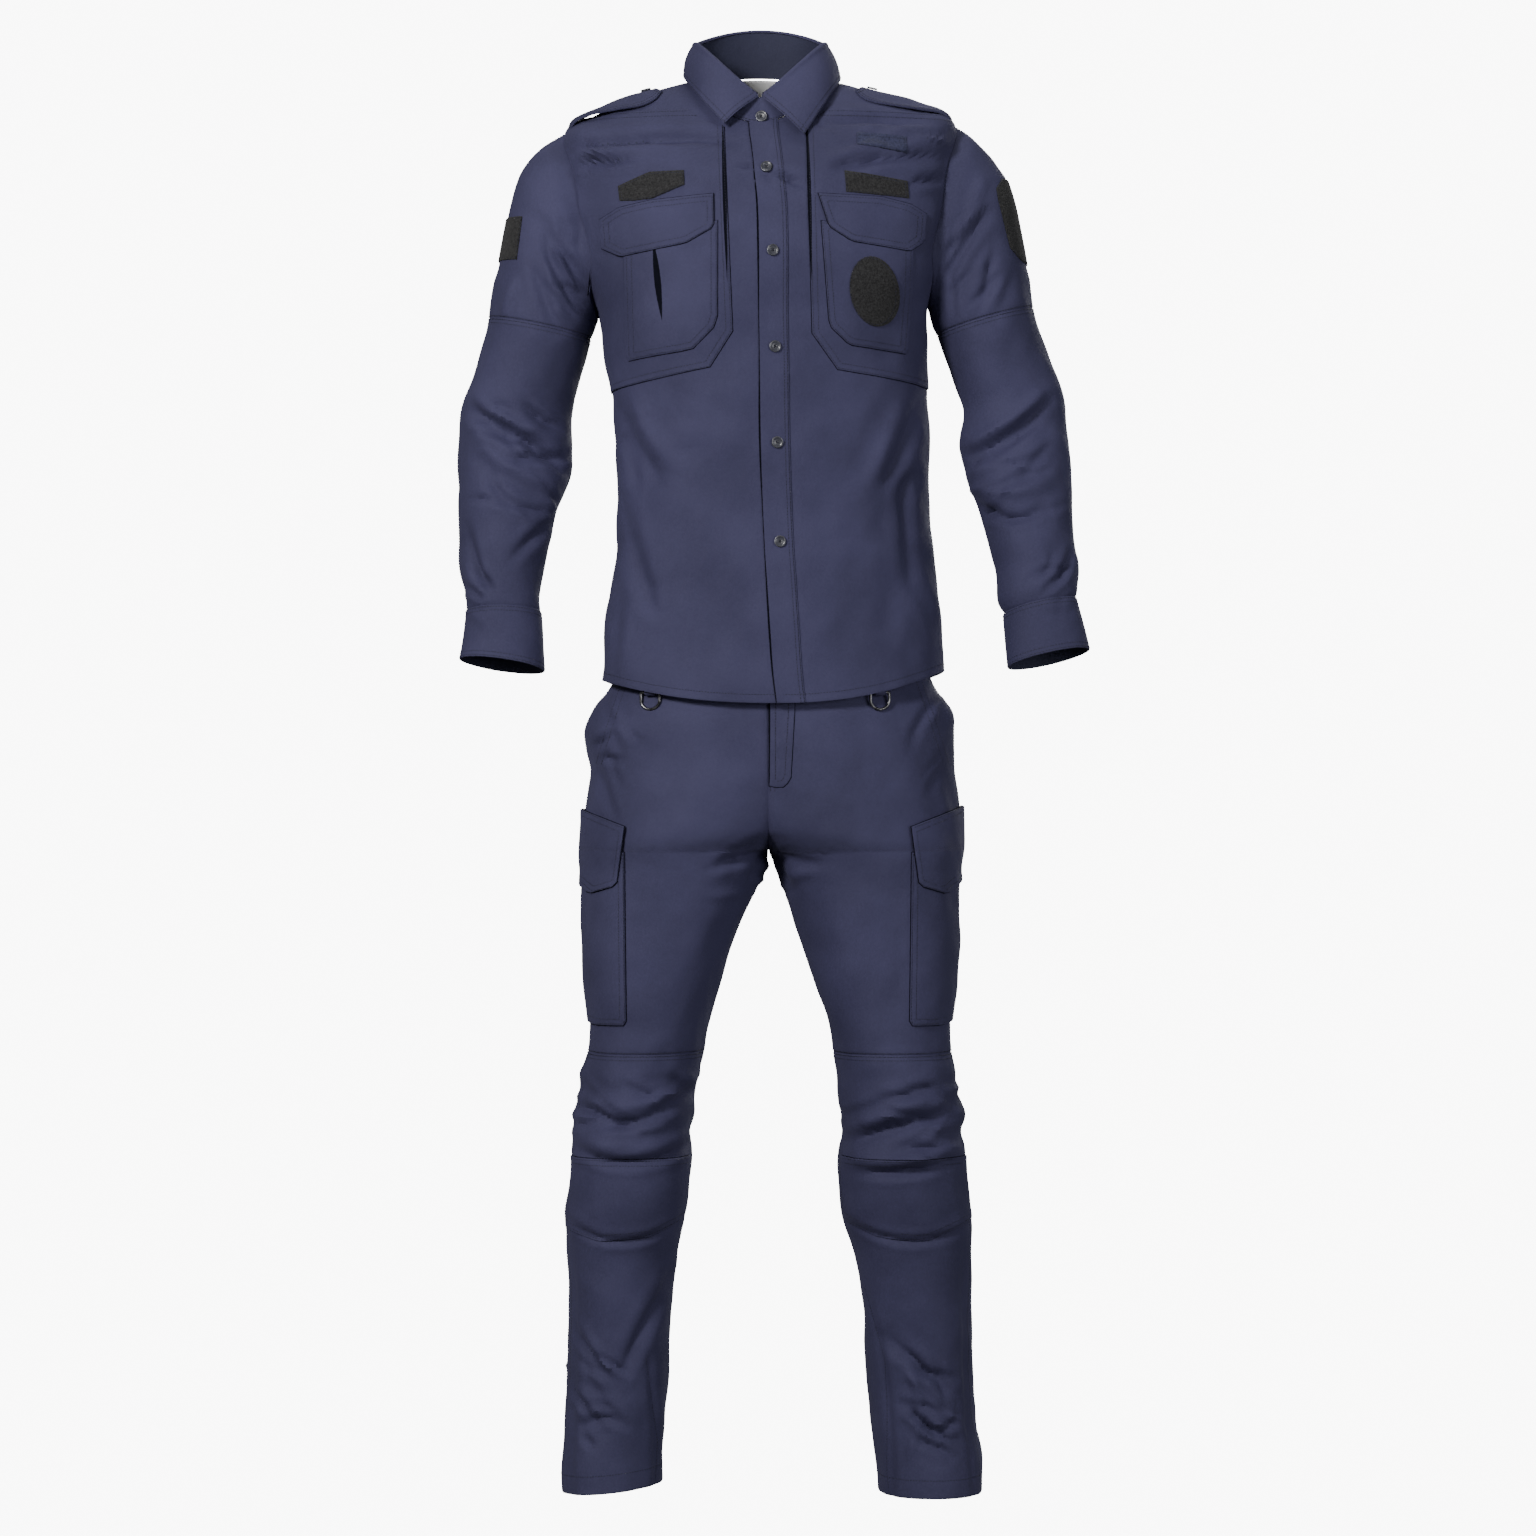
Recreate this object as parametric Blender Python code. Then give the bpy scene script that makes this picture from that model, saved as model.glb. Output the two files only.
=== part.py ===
"""Security guard uniform, worn with no wearer: a long-sleeved patrol shirt over cargo trousers.

Sizes are millimetres in the tables and metres in the meshes. +Z is up and the chest faces -Y.
Right and left are the wearer's, so the right side is at -X. The origin is the base of the neck,
where the wearer's shoulders carry the shirt.
"""

import math

import bmesh
import bpy
import numpy as np
from mathutils import Vector
from mathutils.bvhtree import BVHTree

MM = 0.001
CLOTH = 2.0  # wall of the shirt and the trousers
LAYER = 1.4  # wall of a pocket, flap, patch or placket sewn on a panel
SEAM = 0.3  # gap between two pieces that are sewn together
STEP = LAYER + SEAM  # how much further out each sewn-on layer lies
PLACKET_HALF = 15.5
HIP_CENTRE = 0.5  # x of the trousers' centre seam
RIGHT, LEFT = -1, 1

NAVY = (0.052, 0.056, 0.115)
BLACK_LOOP = (0.012, 0.012, 0.013)
BUTTON_GREY = (0.05, 0.052, 0.07)
RING_METAL = (0.45, 0.45, 0.46)
LABEL_WHITE = (0.75, 0.75, 0.74)

for old in list(bpy.data.objects):
    bpy.data.objects.remove(old, do_unlink=True)
uniform = bpy.data.collections.new("security_guard_uniform")
bpy.context.scene.collection.children.link(uniform)


def material(name, colour, roughness, metallic=0.0):
    made = bpy.data.materials.new(name)
    made.use_nodes = True
    shader = made.node_tree.nodes["Principled BSDF"]
    shader.inputs["Base Color"].default_value = (*colour, 1)
    shader.inputs["Roughness"].default_value = roughness
    shader.inputs["Metallic"].default_value = metallic
    return made


cloth = material("navy_twill", NAVY, 0.8)
loop_tape = material("black_loop_tape", BLACK_LOOP, 0.95)
plastic = material("button_plastic", BUTTON_GREY, 0.35)
metal = material("ring_metal", RING_METAL, 0.3, 1.0)
satin = material("label_satin", LABEL_WHITE, 0.5)


class Table:
    """Rows with named columns, read at any place between two rows along a smooth curve."""

    def __init__(self, columns, rows):
        self.names = columns.split()
        self.rows = np.array(rows, float)
        self.slopes = np.gradient(self.rows, axis=0)

    def at(self, place):
        top = len(self.rows) - 1
        place = np.clip(np.asarray(place, float), 0, top)
        low = np.minimum(place.astype(int), top - 1)
        t = (place - low)[..., None]
        a, b = self.rows[low], self.rows[low + 1]
        da, db = self.slopes[low], self.slopes[low + 1]
        value = (
            (2 * t**3 - 3 * t**2 + 1) * a
            + (t**3 - 2 * t**2 + t) * da
            + (3 * t**2 - 2 * t**3) * b
            + (t**3 - t**2) * db
        )
        return {name: value[..., i] for i, name in enumerate(self.names)}


# The shirt's body, from the hem up over the chest and shoulders to the neckline. half is half the
# width, turn_front and turn_back are how far round the cloth reaches before the armhole cuts it.
TORSO = Table(
    "centre half front back z_front z_right z_left z_back side_y fullness turn_front turn_back placket",
    [
        [5.5, 188, 122, 134, -665, -639, -629, -667, 0, 2.3, 90, 90, 25],
        [6.0, 186, 120, 129, -630, -610, -604, -632, 0, 2.3, 90, 90, 21],
        [6.6, 183, 118, 122, -586, -574, -572, -588, 0, 2.3, 90, 90, 18],
        [7.1, 178.5, 116, 115, -541, -535, -535, -545, 0, 2.3, 90, 90, 15],
        [7.7, 174, 115, 110, -495, -493, -493, -497, 0, 2.3, 90, 90, 12],
        [6.0, 172, 115, 107, -451, -451, -451, -451, 0, 2.3, 90, 90, 10],
        [4.4, 171.6, 117, 107, -407, -407, -407, -407, 0, 2.3, 90, 90, 8.5],
        [1.6, 172, 120, 110, -363, -363, -362, -363, 0, 2.3, 90, 90, 7.5],
        [-1.1, 173, 124, 114, -320, -320, -317, -320, 0, 2.3, 90, 90, 7],
        [-4.0, 177, 127, 117, -282, -280, -272, -280, 0, 2.3, 90, 90, 6.5],
        [-5.5, 179.4, 130, 119, -246, -239.6, -226.4, -242, 1, 2.3, 90, 90, 6],
        [-7.0, 200, 131, 122, -206, -183, -175, -192, 2, 2.3, 66, 66, 6],
        [-8.0, 211, 128, 124, -165, -125, -118, -148, 3, 2.3, 67, 67, 5.8],
        [-8.5, 215, 121, 122, -127, -74, -67, -103, 4, 2.3, 71, 71, 4.5],
        [-8.8, 212.4, 113, 117, -97, -33.8, -26.1, -64, 5, 2.25, 90, 90, 1.5],
        [-9.0, 185, 106, 109, -80, -18, -12, -40, 5, 2.2, 90, 90, 0],
        [-9.5, 152, 98, 98, -63, -3, 1, -17, 5, 2.15, 90, 90, -2],
        [-10.0, 115, 89, 83, -49, 10, 11, 8, 5, 2.1, 90, 90, -4],
        [-10.5, 76, 80, 64, -36, 20, 20, 32, 5, 2.0, 90, 90, -5],
    ],
)
UNDERARM_ROW, SHOULDER_ROW, NECK_ROW = 10, 14, 18
BODY_ROWS = [*range(UNDERARM_ROW + 1), 10.5, 11, 11.5, 12, 13, *range(SHOULDER_ROW, NECK_ROW + 1)]

# Each sleeve, from the armhole to the cuff's edge: the outer and inner points of its outline from
# the front, the middle of its depth, half its depth, and how far it leans forward in degrees.
SLEEVE_COLUMNS = "outer_x outer_z inner_x inner_z middle_y half_depth lean"
SLEEVE_RIGHT = Table(
    SLEEVE_COLUMNS,
    [
        [-221.2, -33.8, -184.9, -239.6, 2, 58, 0],
        [-249.8, -50.2, -186.2, -243.0, 3, 62, 0],
        [-270.8, -76.5, -187.6, -246.2, 4, 64, 0],
        [-283.0, -112.5, -188.7, -249.6, 5, 66, 0],
        [-291.3, -153.5, -189.8, -253.4, 6, 67, 0],
        [-299.0, -197.3, -191.4, -257.6, 7, 67, 0],
        [-306.5, -239.8, -193.5, -263.0, 9, 66, 0],
        [-314.0, -269.5, -198.5, -284.0, 11, 65, 0],
        [-324.0, -304.5, -207.5, -315.8, 12, 63, 1],
        [-336.0, -336.0, -214.5, -348.8, 13, 61, 3],
        [-337.4, -368.7, -215.0, -379.7, 12, 59, 6],
        [-339.3, -404.3, -219.3, -415.3, 8, 57, 9],
        [-338.8, -442.2, -231.0, -448.8, 0, 54, 11],
        [-339.3, -480.1, -239.4, -482.3, -9, 50, 11],
        [-336.4, -517.8, -247.7, -517.8, -19, 46, 11],
        [-330.4, -546.6, -250.0, -546.6, -27, 42, 11],
        [-329.5, -563.4, -248.5, -564.5, -32, 39, 10],
    ],
)
SLEEVE_LEFT = Table(
    SLEEVE_COLUMNS,
    [
        [203.6, -26.1, 173.9, -226.4, 2, 58, 0],
        [227.8, -42.5, 175.6, -230.4, 3, 62, 0],
        [255.4, -73.2, 177.2, -234.0, 4, 64, 0],
        [268.7, -104.0, 178.6, -238.2, 5, 66, 0],
        [277.5, -142.5, 180.4, -243.0, 6, 67, 0],
        [284.8, -184.2, 182.6, -249.6, 7, 67, 0],
        [292.5, -228.2, 186.6, -258.2, 9, 66, 0],
        [303.0, -259.0, 195.3, -283.2, 11, 65, 0],
        [317.5, -296.2, 207.3, -316.2, 12, 63, 1],
        [329.5, -331.2, 215.1, -344.6, 13, 61, 3],
        [332.4, -368.7, 212.8, -380.9, 12, 59, 6],
        [334.9, -406.5, 217.0, -415.3, 8, 57, 9],
        [336.6, -443.3, 229.9, -445.5, 0, 54, 11],
        [339.3, -479.0, 241.6, -482.3, -9, 50, 11],
        [341.9, -514.5, 252.0, -515.6, -19, 46, 11],
        [338.6, -537.5, 254.0, -548.0, -27, 42, 11],
        [336.0, -550.0, 259.2, -566.5, -32, 39, 10],
    ],
)
ELBOW_SEAM_ROW, SLEEVE_END_ROW = 6, 16
CUFF_RIGHT = Table(
    SLEEVE_COLUMNS,
    [
        [-330.2, -563.8, -247.8, -564.9, -32, 40, 10],
        [-334.0, -590.7, -245.4, -597.3, -38, 39.5, 10],
        [-339.1, -615.4, -244.2, -629.0, -44, 39.5, 10],
    ],
)
CUFF_LEFT = Table(
    SLEEVE_COLUMNS,
    [
        [336.7, -550.4, 258.5, -566.9, -32, 40, 10],
        [343.9, -579.8, 259.3, -597.3, -38, 39.5, 10],
        [350.0, -606.0, 261.8, -625.2, -44, 39.5, 10],
    ],
)

# Each half of the trousers, from the waist to the hem. outer and inner are measured from the
# centre seam. open is 1 where the two halves are one round hip section and 0 from the crotch down.
TROUSERS = Table(
    "z outer_right inner_right outer_left inner_left front back open lift",
    [
        [-561, 159, 0, 161, 0, -102, 104, 1.0, 0],
        [-601, 165, 0, 168, 0, -103, 111, 1.0, 0],
        [-643, 173, 0, 182, 0, -105, 114, 1.0, 0],
        [-671, 192, 0, 202, 0, -108, 119, 0.99, 0],
        [-693, 202, 0, 205.5, 0, -111, 129, 0.96, 0],
        [-715, 199, 0, 207, 0, -113, 136, 0.9, 0],
        [-737, 194, 0, 206.5, 0, -114, 140, 0.8, 0],
        [-759, 195.5, 0, 207.5, 0, -114, 140, 0.66, 0],
        [-781, 199, 0, 209, 0, -113, 138, 0.48, 0],
        [-803, 200.7, 0, 210, 0, -112, 133, 0.26, 0],
        [-825, 201.5, 0.6, 210.5, 0.6, -110, 127, 0.0, 0],
        [-847, 201, 4.5, 208.5, 9, -108, 121, 0, 0],
        [-891, 198, 23.6, 205.5, 24.8, -105, 110, 0, 0],
        [-935, 198.5, 42.3, 204.5, 40.2, -102, 99, 0, 0],
        [-979, 196, 55.5, 200, 54.5, -99, 90, 0, 0],
        [-1023, 196, 67.6, 200.5, 67.7, -97, 82, 0, 0],
        [-1045, 198.5, 72, 201.9, 71, -97, 78, 0, 0],
        [-1067, 206.2, 75.3, 207.4, 74.3, -97, 74, 0, 0],
        [-1089, 206.2, 80.8, 207.4, 76.5, -97, 71, 0, 0],
        [-1111, 213.9, 81.9, 216.2, 79.8, -96, 68, 0, 0],
        [-1133, 215, 86.3, 212.9, 82, -95, 67, 0, 0],
        [-1155, 218.3, 85.2, 217.3, 78.7, -93, 67, 0, 0],
        [-1177, 219.4, 85.2, 218.4, 78.7, -90, 68, 0, 0],
        [-1199, 221.6, 86.3, 220.6, 79.8, -86, 70, 0, 0],
        [-1221, 223.8, 88.5, 221.7, 82, -81, 73, 0, 0],
        [-1243, 222.7, 92.9, 222.8, 86.4, -76, 76, 0, 0],
        [-1276, 222.7, 100, 223.9, 96, -69, 80, 0, 0],
        [-1320, 222, 105.5, 223.9, 103, -64, 85, 0, 0],
        [-1364, 222.7, 107.5, 225, 105.5, -61, 86, 0, 0],
        [-1408, 223, 110.5, 226.8, 109, -60, 85, 0, 0],
        [-1452, 225, 115.5, 230.2, 113, -59, 83, 0, 0],
        [-1492, 227.1, 117.5, 236, 118, -59, 81, 0, 4],
        [-1530, 226, 116, 236, 121.6, -60, 78, 0, 12],
    ],
)
WAIST_ROW, YOKE_ROW, CROTCH_ROW, KNEE_SEAM_ROW, HEM_ROW = 0, 1, 10, 16, 32
LEG_FULLNESS = 2.15

# The largest folds: soft ridges (+) and troughs (-) along a line seen from the front.
# face is -1 on the front of the garment and 1 on the back.
FOLD_COLUMNS = ("x0", "z0", "x1", "z1", "width", "depth", "face")
FOLDS = [
    # right elbow, a deep crease with a roll of cloth on each side
    (-336, -331, -222, -402, 13, -5.5, -1),
    (-338, -352, -230, -424, 14, 4.0, -1),
    (-328, -322, -220, -378, 16, 3.5, -1),
    (-338, -482, -308, -540, 15, -4.0, -1),
    (-336, -340, -224, -380, 16, -4.0, 1),
    # left elbow
    (222, -402, 318, -340, 13, -5.0, -1),
    (224, -425, 322, -368, 15, 4.0, -1),
    (216, -375, 300, -322, 15, 3.5, -1),
    (226, -452, 268, -475, 13, -4.0, -1),
    (266, -475, 310, -455, 13, -4.0, -1),
    (224, -378, 330, -345, 16, -4.0, 1),
    # folds that run from the armpits into the sleeves and the chest
    (-270, -146, -198, -232, 13, -4.0, -1),
    (-282, -178, -228, -268, 14, -3.5, -1),
    (252, -150, 196, -222, 13, -4.0, -1),
    (262, -172, 226, -262, 14, -3.5, -1),
    # sides of the shirt's body
    (-158, -352, -122, -446, 16, -4.0, -1),
    (-150, -480, -128, -560, 18, -4.0, -1),
    (150, -400, 118, -500, 18, -4.5, -1),
    (158, -490, 122, -600, 18, -4.0, -1),
    (-150, -420, -60, -470, 20, -4.0, 1),
    (150, -430, 60, -485, 20, -4.0, 1),
    # gathers above the right knee patch
    (-206, -1100, -140, -1128, 14, -5.0, -1),
    (-196, -1136, -108, -1118, 13, 4.0, -1),
    (-210, -1146, -92, -1158, 12, 4.0, -1),
    (-205, -1120, -105, -1140, 15, -4.0, 1),
    # gathers above the left knee patch
    (96, -1140, 206, -1102, 14, -5.0, -1),
    (100, -1118, 150, -1080, 14, 4.0, -1),
    (92, -1156, 210, -1148, 12, 4.0, -1),
    (205, -1120, 105, -1142, 15, -4.0, 1),
    # breaks above the trouser hems
    (-214, -1360, -160, -1430, 16, -4.0, -1),
    (-205, -1462, -165, -1440, 15, -4.0, -1),
    (132, -1340, 205, -1410, 16, -4.5, -1),
    (150, -1440, 205, -1490, 15, -4.0, -1),
    (-210, -1400, -130, -1450, 18, -4.0, 1),
    (215, -1400, 135, -1455, 18, -4.0, 1),
]


def folded(points, normals, middle_y):
    """The points moved along their normals by the folds that lie on their face of the garment."""
    shift = np.zeros(points.shape[:-1])
    for row in FOLDS:
        fold = dict(zip(FOLD_COLUMNS, row))
        start = np.array([fold["x0"], fold["z0"]])
        along = np.array([fold["x1"], fold["z1"]]) - start
        length = np.hypot(*along)
        seen = points[..., [0, 2]] - start
        share = seen @ along / length**2
        aside = (seen[..., 0] * along[1] - seen[..., 1] * along[0]) / length
        taper = np.sin(np.pi * np.clip(share, 0, 1)) ** 0.5
        facing = np.clip((points[..., 1] - middle_y) * fold["face"] / 25, 0, 1)
        shift += fold["depth"] * taper * facing * np.exp(-((aside / fold["width"]) ** 2))
    return points + normals * shift[..., None]


def power(value, fullness):
    return np.sign(value) * np.abs(value) ** (2 / fullness)


def torso(row, angle):
    """A point of the shirt's body: angle is 0 at the front, 90 at the left side, 180 at the back."""
    cut = TORSO.at(row)
    turn = np.radians(angle)
    across, ahead = np.sin(turn), np.cos(turn)
    depth = np.where(ahead > 0, cut["front"] + cut["side_y"], cut["back"] - cut["side_y"])
    side_z = np.where(across < 0, cut["z_right"], cut["z_left"])
    end_z = np.where(ahead > 0, cut["z_front"], cut["z_back"])
    return np.stack(
        [
            cut["centre"] + cut["half"] * power(across, cut["fullness"]),
            cut["side_y"] - depth * power(ahead, cut["fullness"]),
            end_z * ahead**2 + side_z * across**2,
        ],
        axis=-1,
    )


def ring_point(cut, turn):
    """A point of a sleeve ring: turn is 0 on the outside, 90 on the front, 180 at the body."""
    turn, lean = np.radians(turn), np.radians(cut["lean"])
    wide, deep = np.cos(turn) / 2, np.sin(turn) * cut["half_depth"]
    return np.stack(
        [
            (cut["outer_x"] + cut["inner_x"]) / 2 + (cut["outer_x"] - cut["inner_x"]) * wide,
            cut["middle_y"] - deep * np.cos(lean),
            (cut["outer_z"] + cut["inner_z"]) / 2 + (cut["outer_z"] - cut["inner_z"]) * wide + deep * np.sin(lean),
        ],
        axis=-1,
    )


def armhole(side, turn):
    """A point of the armhole's edge, for the same turn as ring_point."""
    turn = np.asarray(turn, float) % 360
    on_front = turn <= 180
    down = np.where(on_front, turn, 360 - turn) / 180
    row = SHOULDER_ROW + (UNDERARM_ROW - SHOULDER_ROW) * down
    cut = TORSO.at(row)
    angle = np.where(on_front, armhole_turn(row, cut["turn_front"]), 180 - armhole_turn(row, cut["turn_back"]))
    return torso(row, side * angle)


def armhole_turn(row, turn):
    """How far round the panel reaches, held at the side seam below and above the armhole."""
    inside = (row > UNDERARM_ROW) & (row < SHOULDER_ROW)
    return np.where(inside, np.minimum(turn, 90), 90.0)


def sleeve(side, table, row, turn):
    """The sleeve's surface: its first ring is the armhole, and the next ones its table's rings."""
    row, turn = np.broadcast_arrays(np.asarray(row, float), np.asarray(turn, float))
    ring = ring_point(table.at(row), turn)
    head = np.clip(1 - row, 0, 1)[..., None]
    return ring + (armhole(side, turn) - ring_point(table.at(np.zeros_like(row)), turn)) * head**2 * (3 - 2 * head)


def trouser_half(side, row, turn):
    """A point of one half of the trousers: turn runs from -1 at the front inner edge, over 0 at
    the side seam, to 1 at the back inner edge."""
    cut = TROUSERS.at(row)
    outer = cut["outer_right"] if side == RIGHT else cut["outer_left"]
    inner = cut["inner_right"] if side == RIGHT else cut["inner_left"]
    above = np.asarray(row) < CROTCH_ROW
    inner = np.where(above, -outer * np.clip(cut["open"], 0, 1), np.maximum(inner, 0.4))
    middle, half = (outer + inner) / 2, (outer - inner) / 2
    end = np.arccos(-np.clip(middle / half, 0, 1) ** (LEG_FULLNESS / 2))
    angle = end * turn
    wide = power(np.cos(angle), LEG_FULLNESS)
    depth = (cut["back"] - cut["front"]) / 2
    x = np.maximum(middle + half * wide, SEAM / 2)
    y = (cut["back"] + cut["front"]) / 2 + depth * power(np.sin(angle), LEG_FULLNESS)
    lift = cut["lift"] if side == RIGHT else 0
    return np.stack([HIP_CENTRE + side * x, y, cut["z"] + lift * (1 - wide) / 2], axis=-1)


def normals_of(surface, row, turn, outward, row_step=0.02, turn_step=0.5):
    """Unit normals of a surface function, pointing the same way as outward(points)."""
    along = surface(row + row_step, turn) - surface(row - row_step, turn)
    around = surface(row, turn + turn_step) - surface(row, turn - turn_step)
    normal = np.cross(around, along)
    normal /= np.linalg.norm(normal, axis=-1, keepdims=True)
    flip = np.sign((normal * outward(surface(row, turn))).sum(-1, keepdims=True))
    return normal * flip


def away_from(x, y):
    """Which way is out, for a tube round the upright line at x, y."""
    return lambda points: points * [1, 1, 0] - [x, y, 0]


class Sheet:
    """One face of cloth: a grid of points with the normals that a wall's thickness follows."""

    def __init__(self, points, normals):
        self.points, self.normals = points, normals

    def part(self, rows=slice(None), columns=slice(None)):
        return Sheet(self.points[rows, columns], self.normals[rows, columns])

    def trimmed(self, amount, edges):
        """The same sheet with the named edges drawn in, along the flat of its own faces."""
        points, normals = self.points.copy(), self.normals.copy()
        for edge in edges:
            here, near = {
                "first_column": (np.s_[:, 0], np.s_[:, 1]),
                "last_column": (np.s_[:, -1], np.s_[:, -2]),
                "first_row": (np.s_[0], np.s_[1]),
                "last_row": (np.s_[-1], np.s_[-2]),
            }[edge]
            gap = np.linalg.norm(points[near] - points[here], axis=-1, keepdims=True)
            share = np.clip(amount / np.maximum(gap, 1e-6), 0, 0.8)
            points[here] += (points[near] - points[here]) * share
            normals[here] += (normals[near] - normals[here]) * share
        return Sheet(points, normals)

    def joined(self, other):
        """This sheet and the one beside it, whose first column repeats this one's last."""
        return Sheet(
            np.concatenate([self.points, other.points[:, 1:]], 1),
            np.concatenate([self.normals, other.normals[:, 1:]], 1),
        )

    def surface(self):
        """The sheet as an open mesh whose points remember their normals."""
        made = bmesh.new()
        keep = made.verts.layers.float_vector.new("out")
        rows, columns = self.points.shape[:2]
        flat, out = self.points.reshape(-1, 3), self.normals.reshape(-1, 3)
        for point, normal in zip(flat, out):
            made.verts.new(point)[keep] = Vector(normal)
        made.verts.ensure_lookup_table()
        for r in range(rows - 1):
            for c in range(columns - 1):
                a, b = r * columns + c, (r + 1) * columns + c
                for corners in ((a, a + 1, b + 1), (a, b + 1, b)):
                    made.faces.new([made.verts[i] for i in corners])
        return made


def object_of(name, mesh, look):
    """A named object from a bmesh in millimetres, with its faces pointing out."""
    bmesh.ops.recalc_face_normals(mesh, faces=mesh.faces)
    bmesh.ops.scale(mesh, vec=(MM, MM, MM), verts=mesh.verts)
    data = bpy.data.meshes.new(name)
    mesh.to_mesh(data)
    mesh.free()
    data.materials.append(look)
    data.shade_smooth()
    data.set_sharp_from_angle(angle=math.radians(40))
    made = bpy.data.objects.new(name, data)
    uniform.objects.link(made)
    return made


def thickened(name, surface, low, high, look):
    """A closed wall from an open mesh: its two faces lie low and high along the kept normals."""
    keep = surface.verts.layers.float_vector["out"]
    surface.verts.index_update()
    made = bmesh.new()
    faces = {}
    for height in (low, high):
        faces[height] = [made.verts.new(v.co + v[keep] * height) for v in surface.verts]
    for face in surface.faces:
        ring = [v.index for v in face.verts]
        made.faces.new([faces[high][i] for i in ring])
        made.faces.new([faces[low][i] for i in reversed(ring)])
    for edge in surface.edges:
        if len(edge.link_faces) == 1:
            a, b = (v.index for v in edge.verts)
            made.faces.new([faces[low][a], faces[low][b], faces[high][b], faces[high][a]])
    surface.free()
    return object_of(name, made, look)


def wall(name, sheet, thickness=CLOTH, look=cloth, closed=False):
    """A panel: the sheet is its outer face and the cloth lies behind it."""
    surface = sheet.surface()
    if closed:
        bmesh.ops.remove_doubles(surface, verts=surface.verts, dist=0.001)
    return thickened(name, surface, -thickness, 0, look)


def outlined(surface, outline, view="front"):
    """What lies inside a convex outline, drawn as seen from the front (x, z) or the side (y, z)."""
    first = 0 if view == "front" else 1
    middle = np.mean(outline, axis=0)
    for (a, c), (b, d) in zip(outline, outline[1:] + outline[:1]):
        normal = Vector((0, 0, 0))
        normal[first], normal[2] = d - c, a - b
        point = Vector((0, 0, 0))
        point[first], point[2] = a, c
        centre = Vector((0, 0, 0))
        centre[first], centre[2] = middle
        if normal.dot(centre - point) > 0:
            normal.negate()
        everything = surface.verts[:] + surface.edges[:] + surface.faces[:]
        bmesh.ops.bisect_plane(
            surface, geom=everything, dist=1e-4, plane_co=point, plane_no=normal, clear_outer=True
        )
    bmesh.ops.remove_doubles(surface, verts=surface.verts, dist=0.05)
    return surface


def sewn_on(name, sheet, outline, layer=0, thickness=LAYER, look=cloth, view="front", behind=None):
    """A piece cut to an outline from its panel's points and moved out by its layer. behind is
    the y at which a piece that wraps the side of the leg ends."""
    low = SEAM + layer * STEP
    cut = outlined(sheet.surface(), outline, view)
    if behind is not None:
        outlined(cut, [(-300, 0), (behind, 0), (behind, -1600), (-300, -1600)], "side")
    return thickened(name, cut, low, low + thickness, look)


def seat_on(obj, x, z, towards=1):
    """Where a line seen from the front first meets an object, and the way out of it there."""
    tree = BVHTree.FromPolygons([v.co for v in obj.data.vertices], [p.vertices for p in obj.data.polygons])
    start = Vector((x * MM, -towards, z * MM))
    point, normal, _, _ = tree.ray_cast(start, Vector((0, towards, 0)))
    return point, normal


def button(name, point, normal, radius=6.2, height=2.4):
    """A four-hole shirt button: a shallow turned dish with a raised rim."""
    made = bmesh.new()
    profile = [(0, 0), (radius, 0), (radius, height - 0.4), (radius - 0.6, height)]
    profile += [(radius * 0.66, height), (radius * 0.55, height - 0.8), (0, height - 0.8)]
    ring = [made.verts.new((x, 0, z)) for x, z in profile]
    edges = [made.edges.new(pair) for pair in zip(ring, ring[1:])]
    bmesh.ops.spin(made, geom=ring + edges, cent=(0, 0, 0), axis=(0, 0, 1), angle=math.tau, steps=10, use_merge=True)
    bmesh.ops.remove_doubles(made, verts=made.verts, dist=0.01)
    turn = normal.to_track_quat("Z", "Y").to_matrix().to_4x4()
    bmesh.ops.transform(made, matrix=turn, verts=made.verts)
    bmesh.ops.translate(made, vec=point / MM + normal * 2 * SEAM, verts=made.verts)
    return object_of(name, made, plastic)


def torso_sheet(rows, angles):
    """A sheet of the shirt's body; angles is a row of angles or one row for each of rows."""
    rows = np.array(rows, float)[:, None]
    angles = np.broadcast_to(angles, (len(rows), np.shape(angles)[-1]))
    normals = normals_of(torso, rows, angles, lambda p: p * [1, 1, 0.3] - [0, 0, -80])
    return Sheet(folded(torso(rows, angles), normals, 0), normals)


def angle_at(cut, x):
    """The angle at which the front of the body reaches x."""
    share = (x - cut["centre"]) / cut["half"]
    return np.degrees(np.arcsin(np.clip(np.sign(share) * np.abs(share) ** (cut["fullness"] / 2), -1, 1)))


def front_sheet(side):
    """One front, between the line where the fronts meet under the placket and the armhole."""
    rows = np.array(BODY_ROWS, float)
    cut = TORSO.at(rows)
    meet = angle_at(cut, cut["placket"])
    edge = angle_at(cut, cut["placket"] + side * PLACKET_HALF)
    end = side * armhole_turn(rows, cut["turn_front"])
    share = np.append(np.linspace(0, 0.95, 9), 1)[None]
    spread = edge[:, None] + (end - edge)[:, None] * share
    return torso_sheet(rows, np.concatenate([meet[:, None], spread], 1)[:, ::side])


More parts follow.
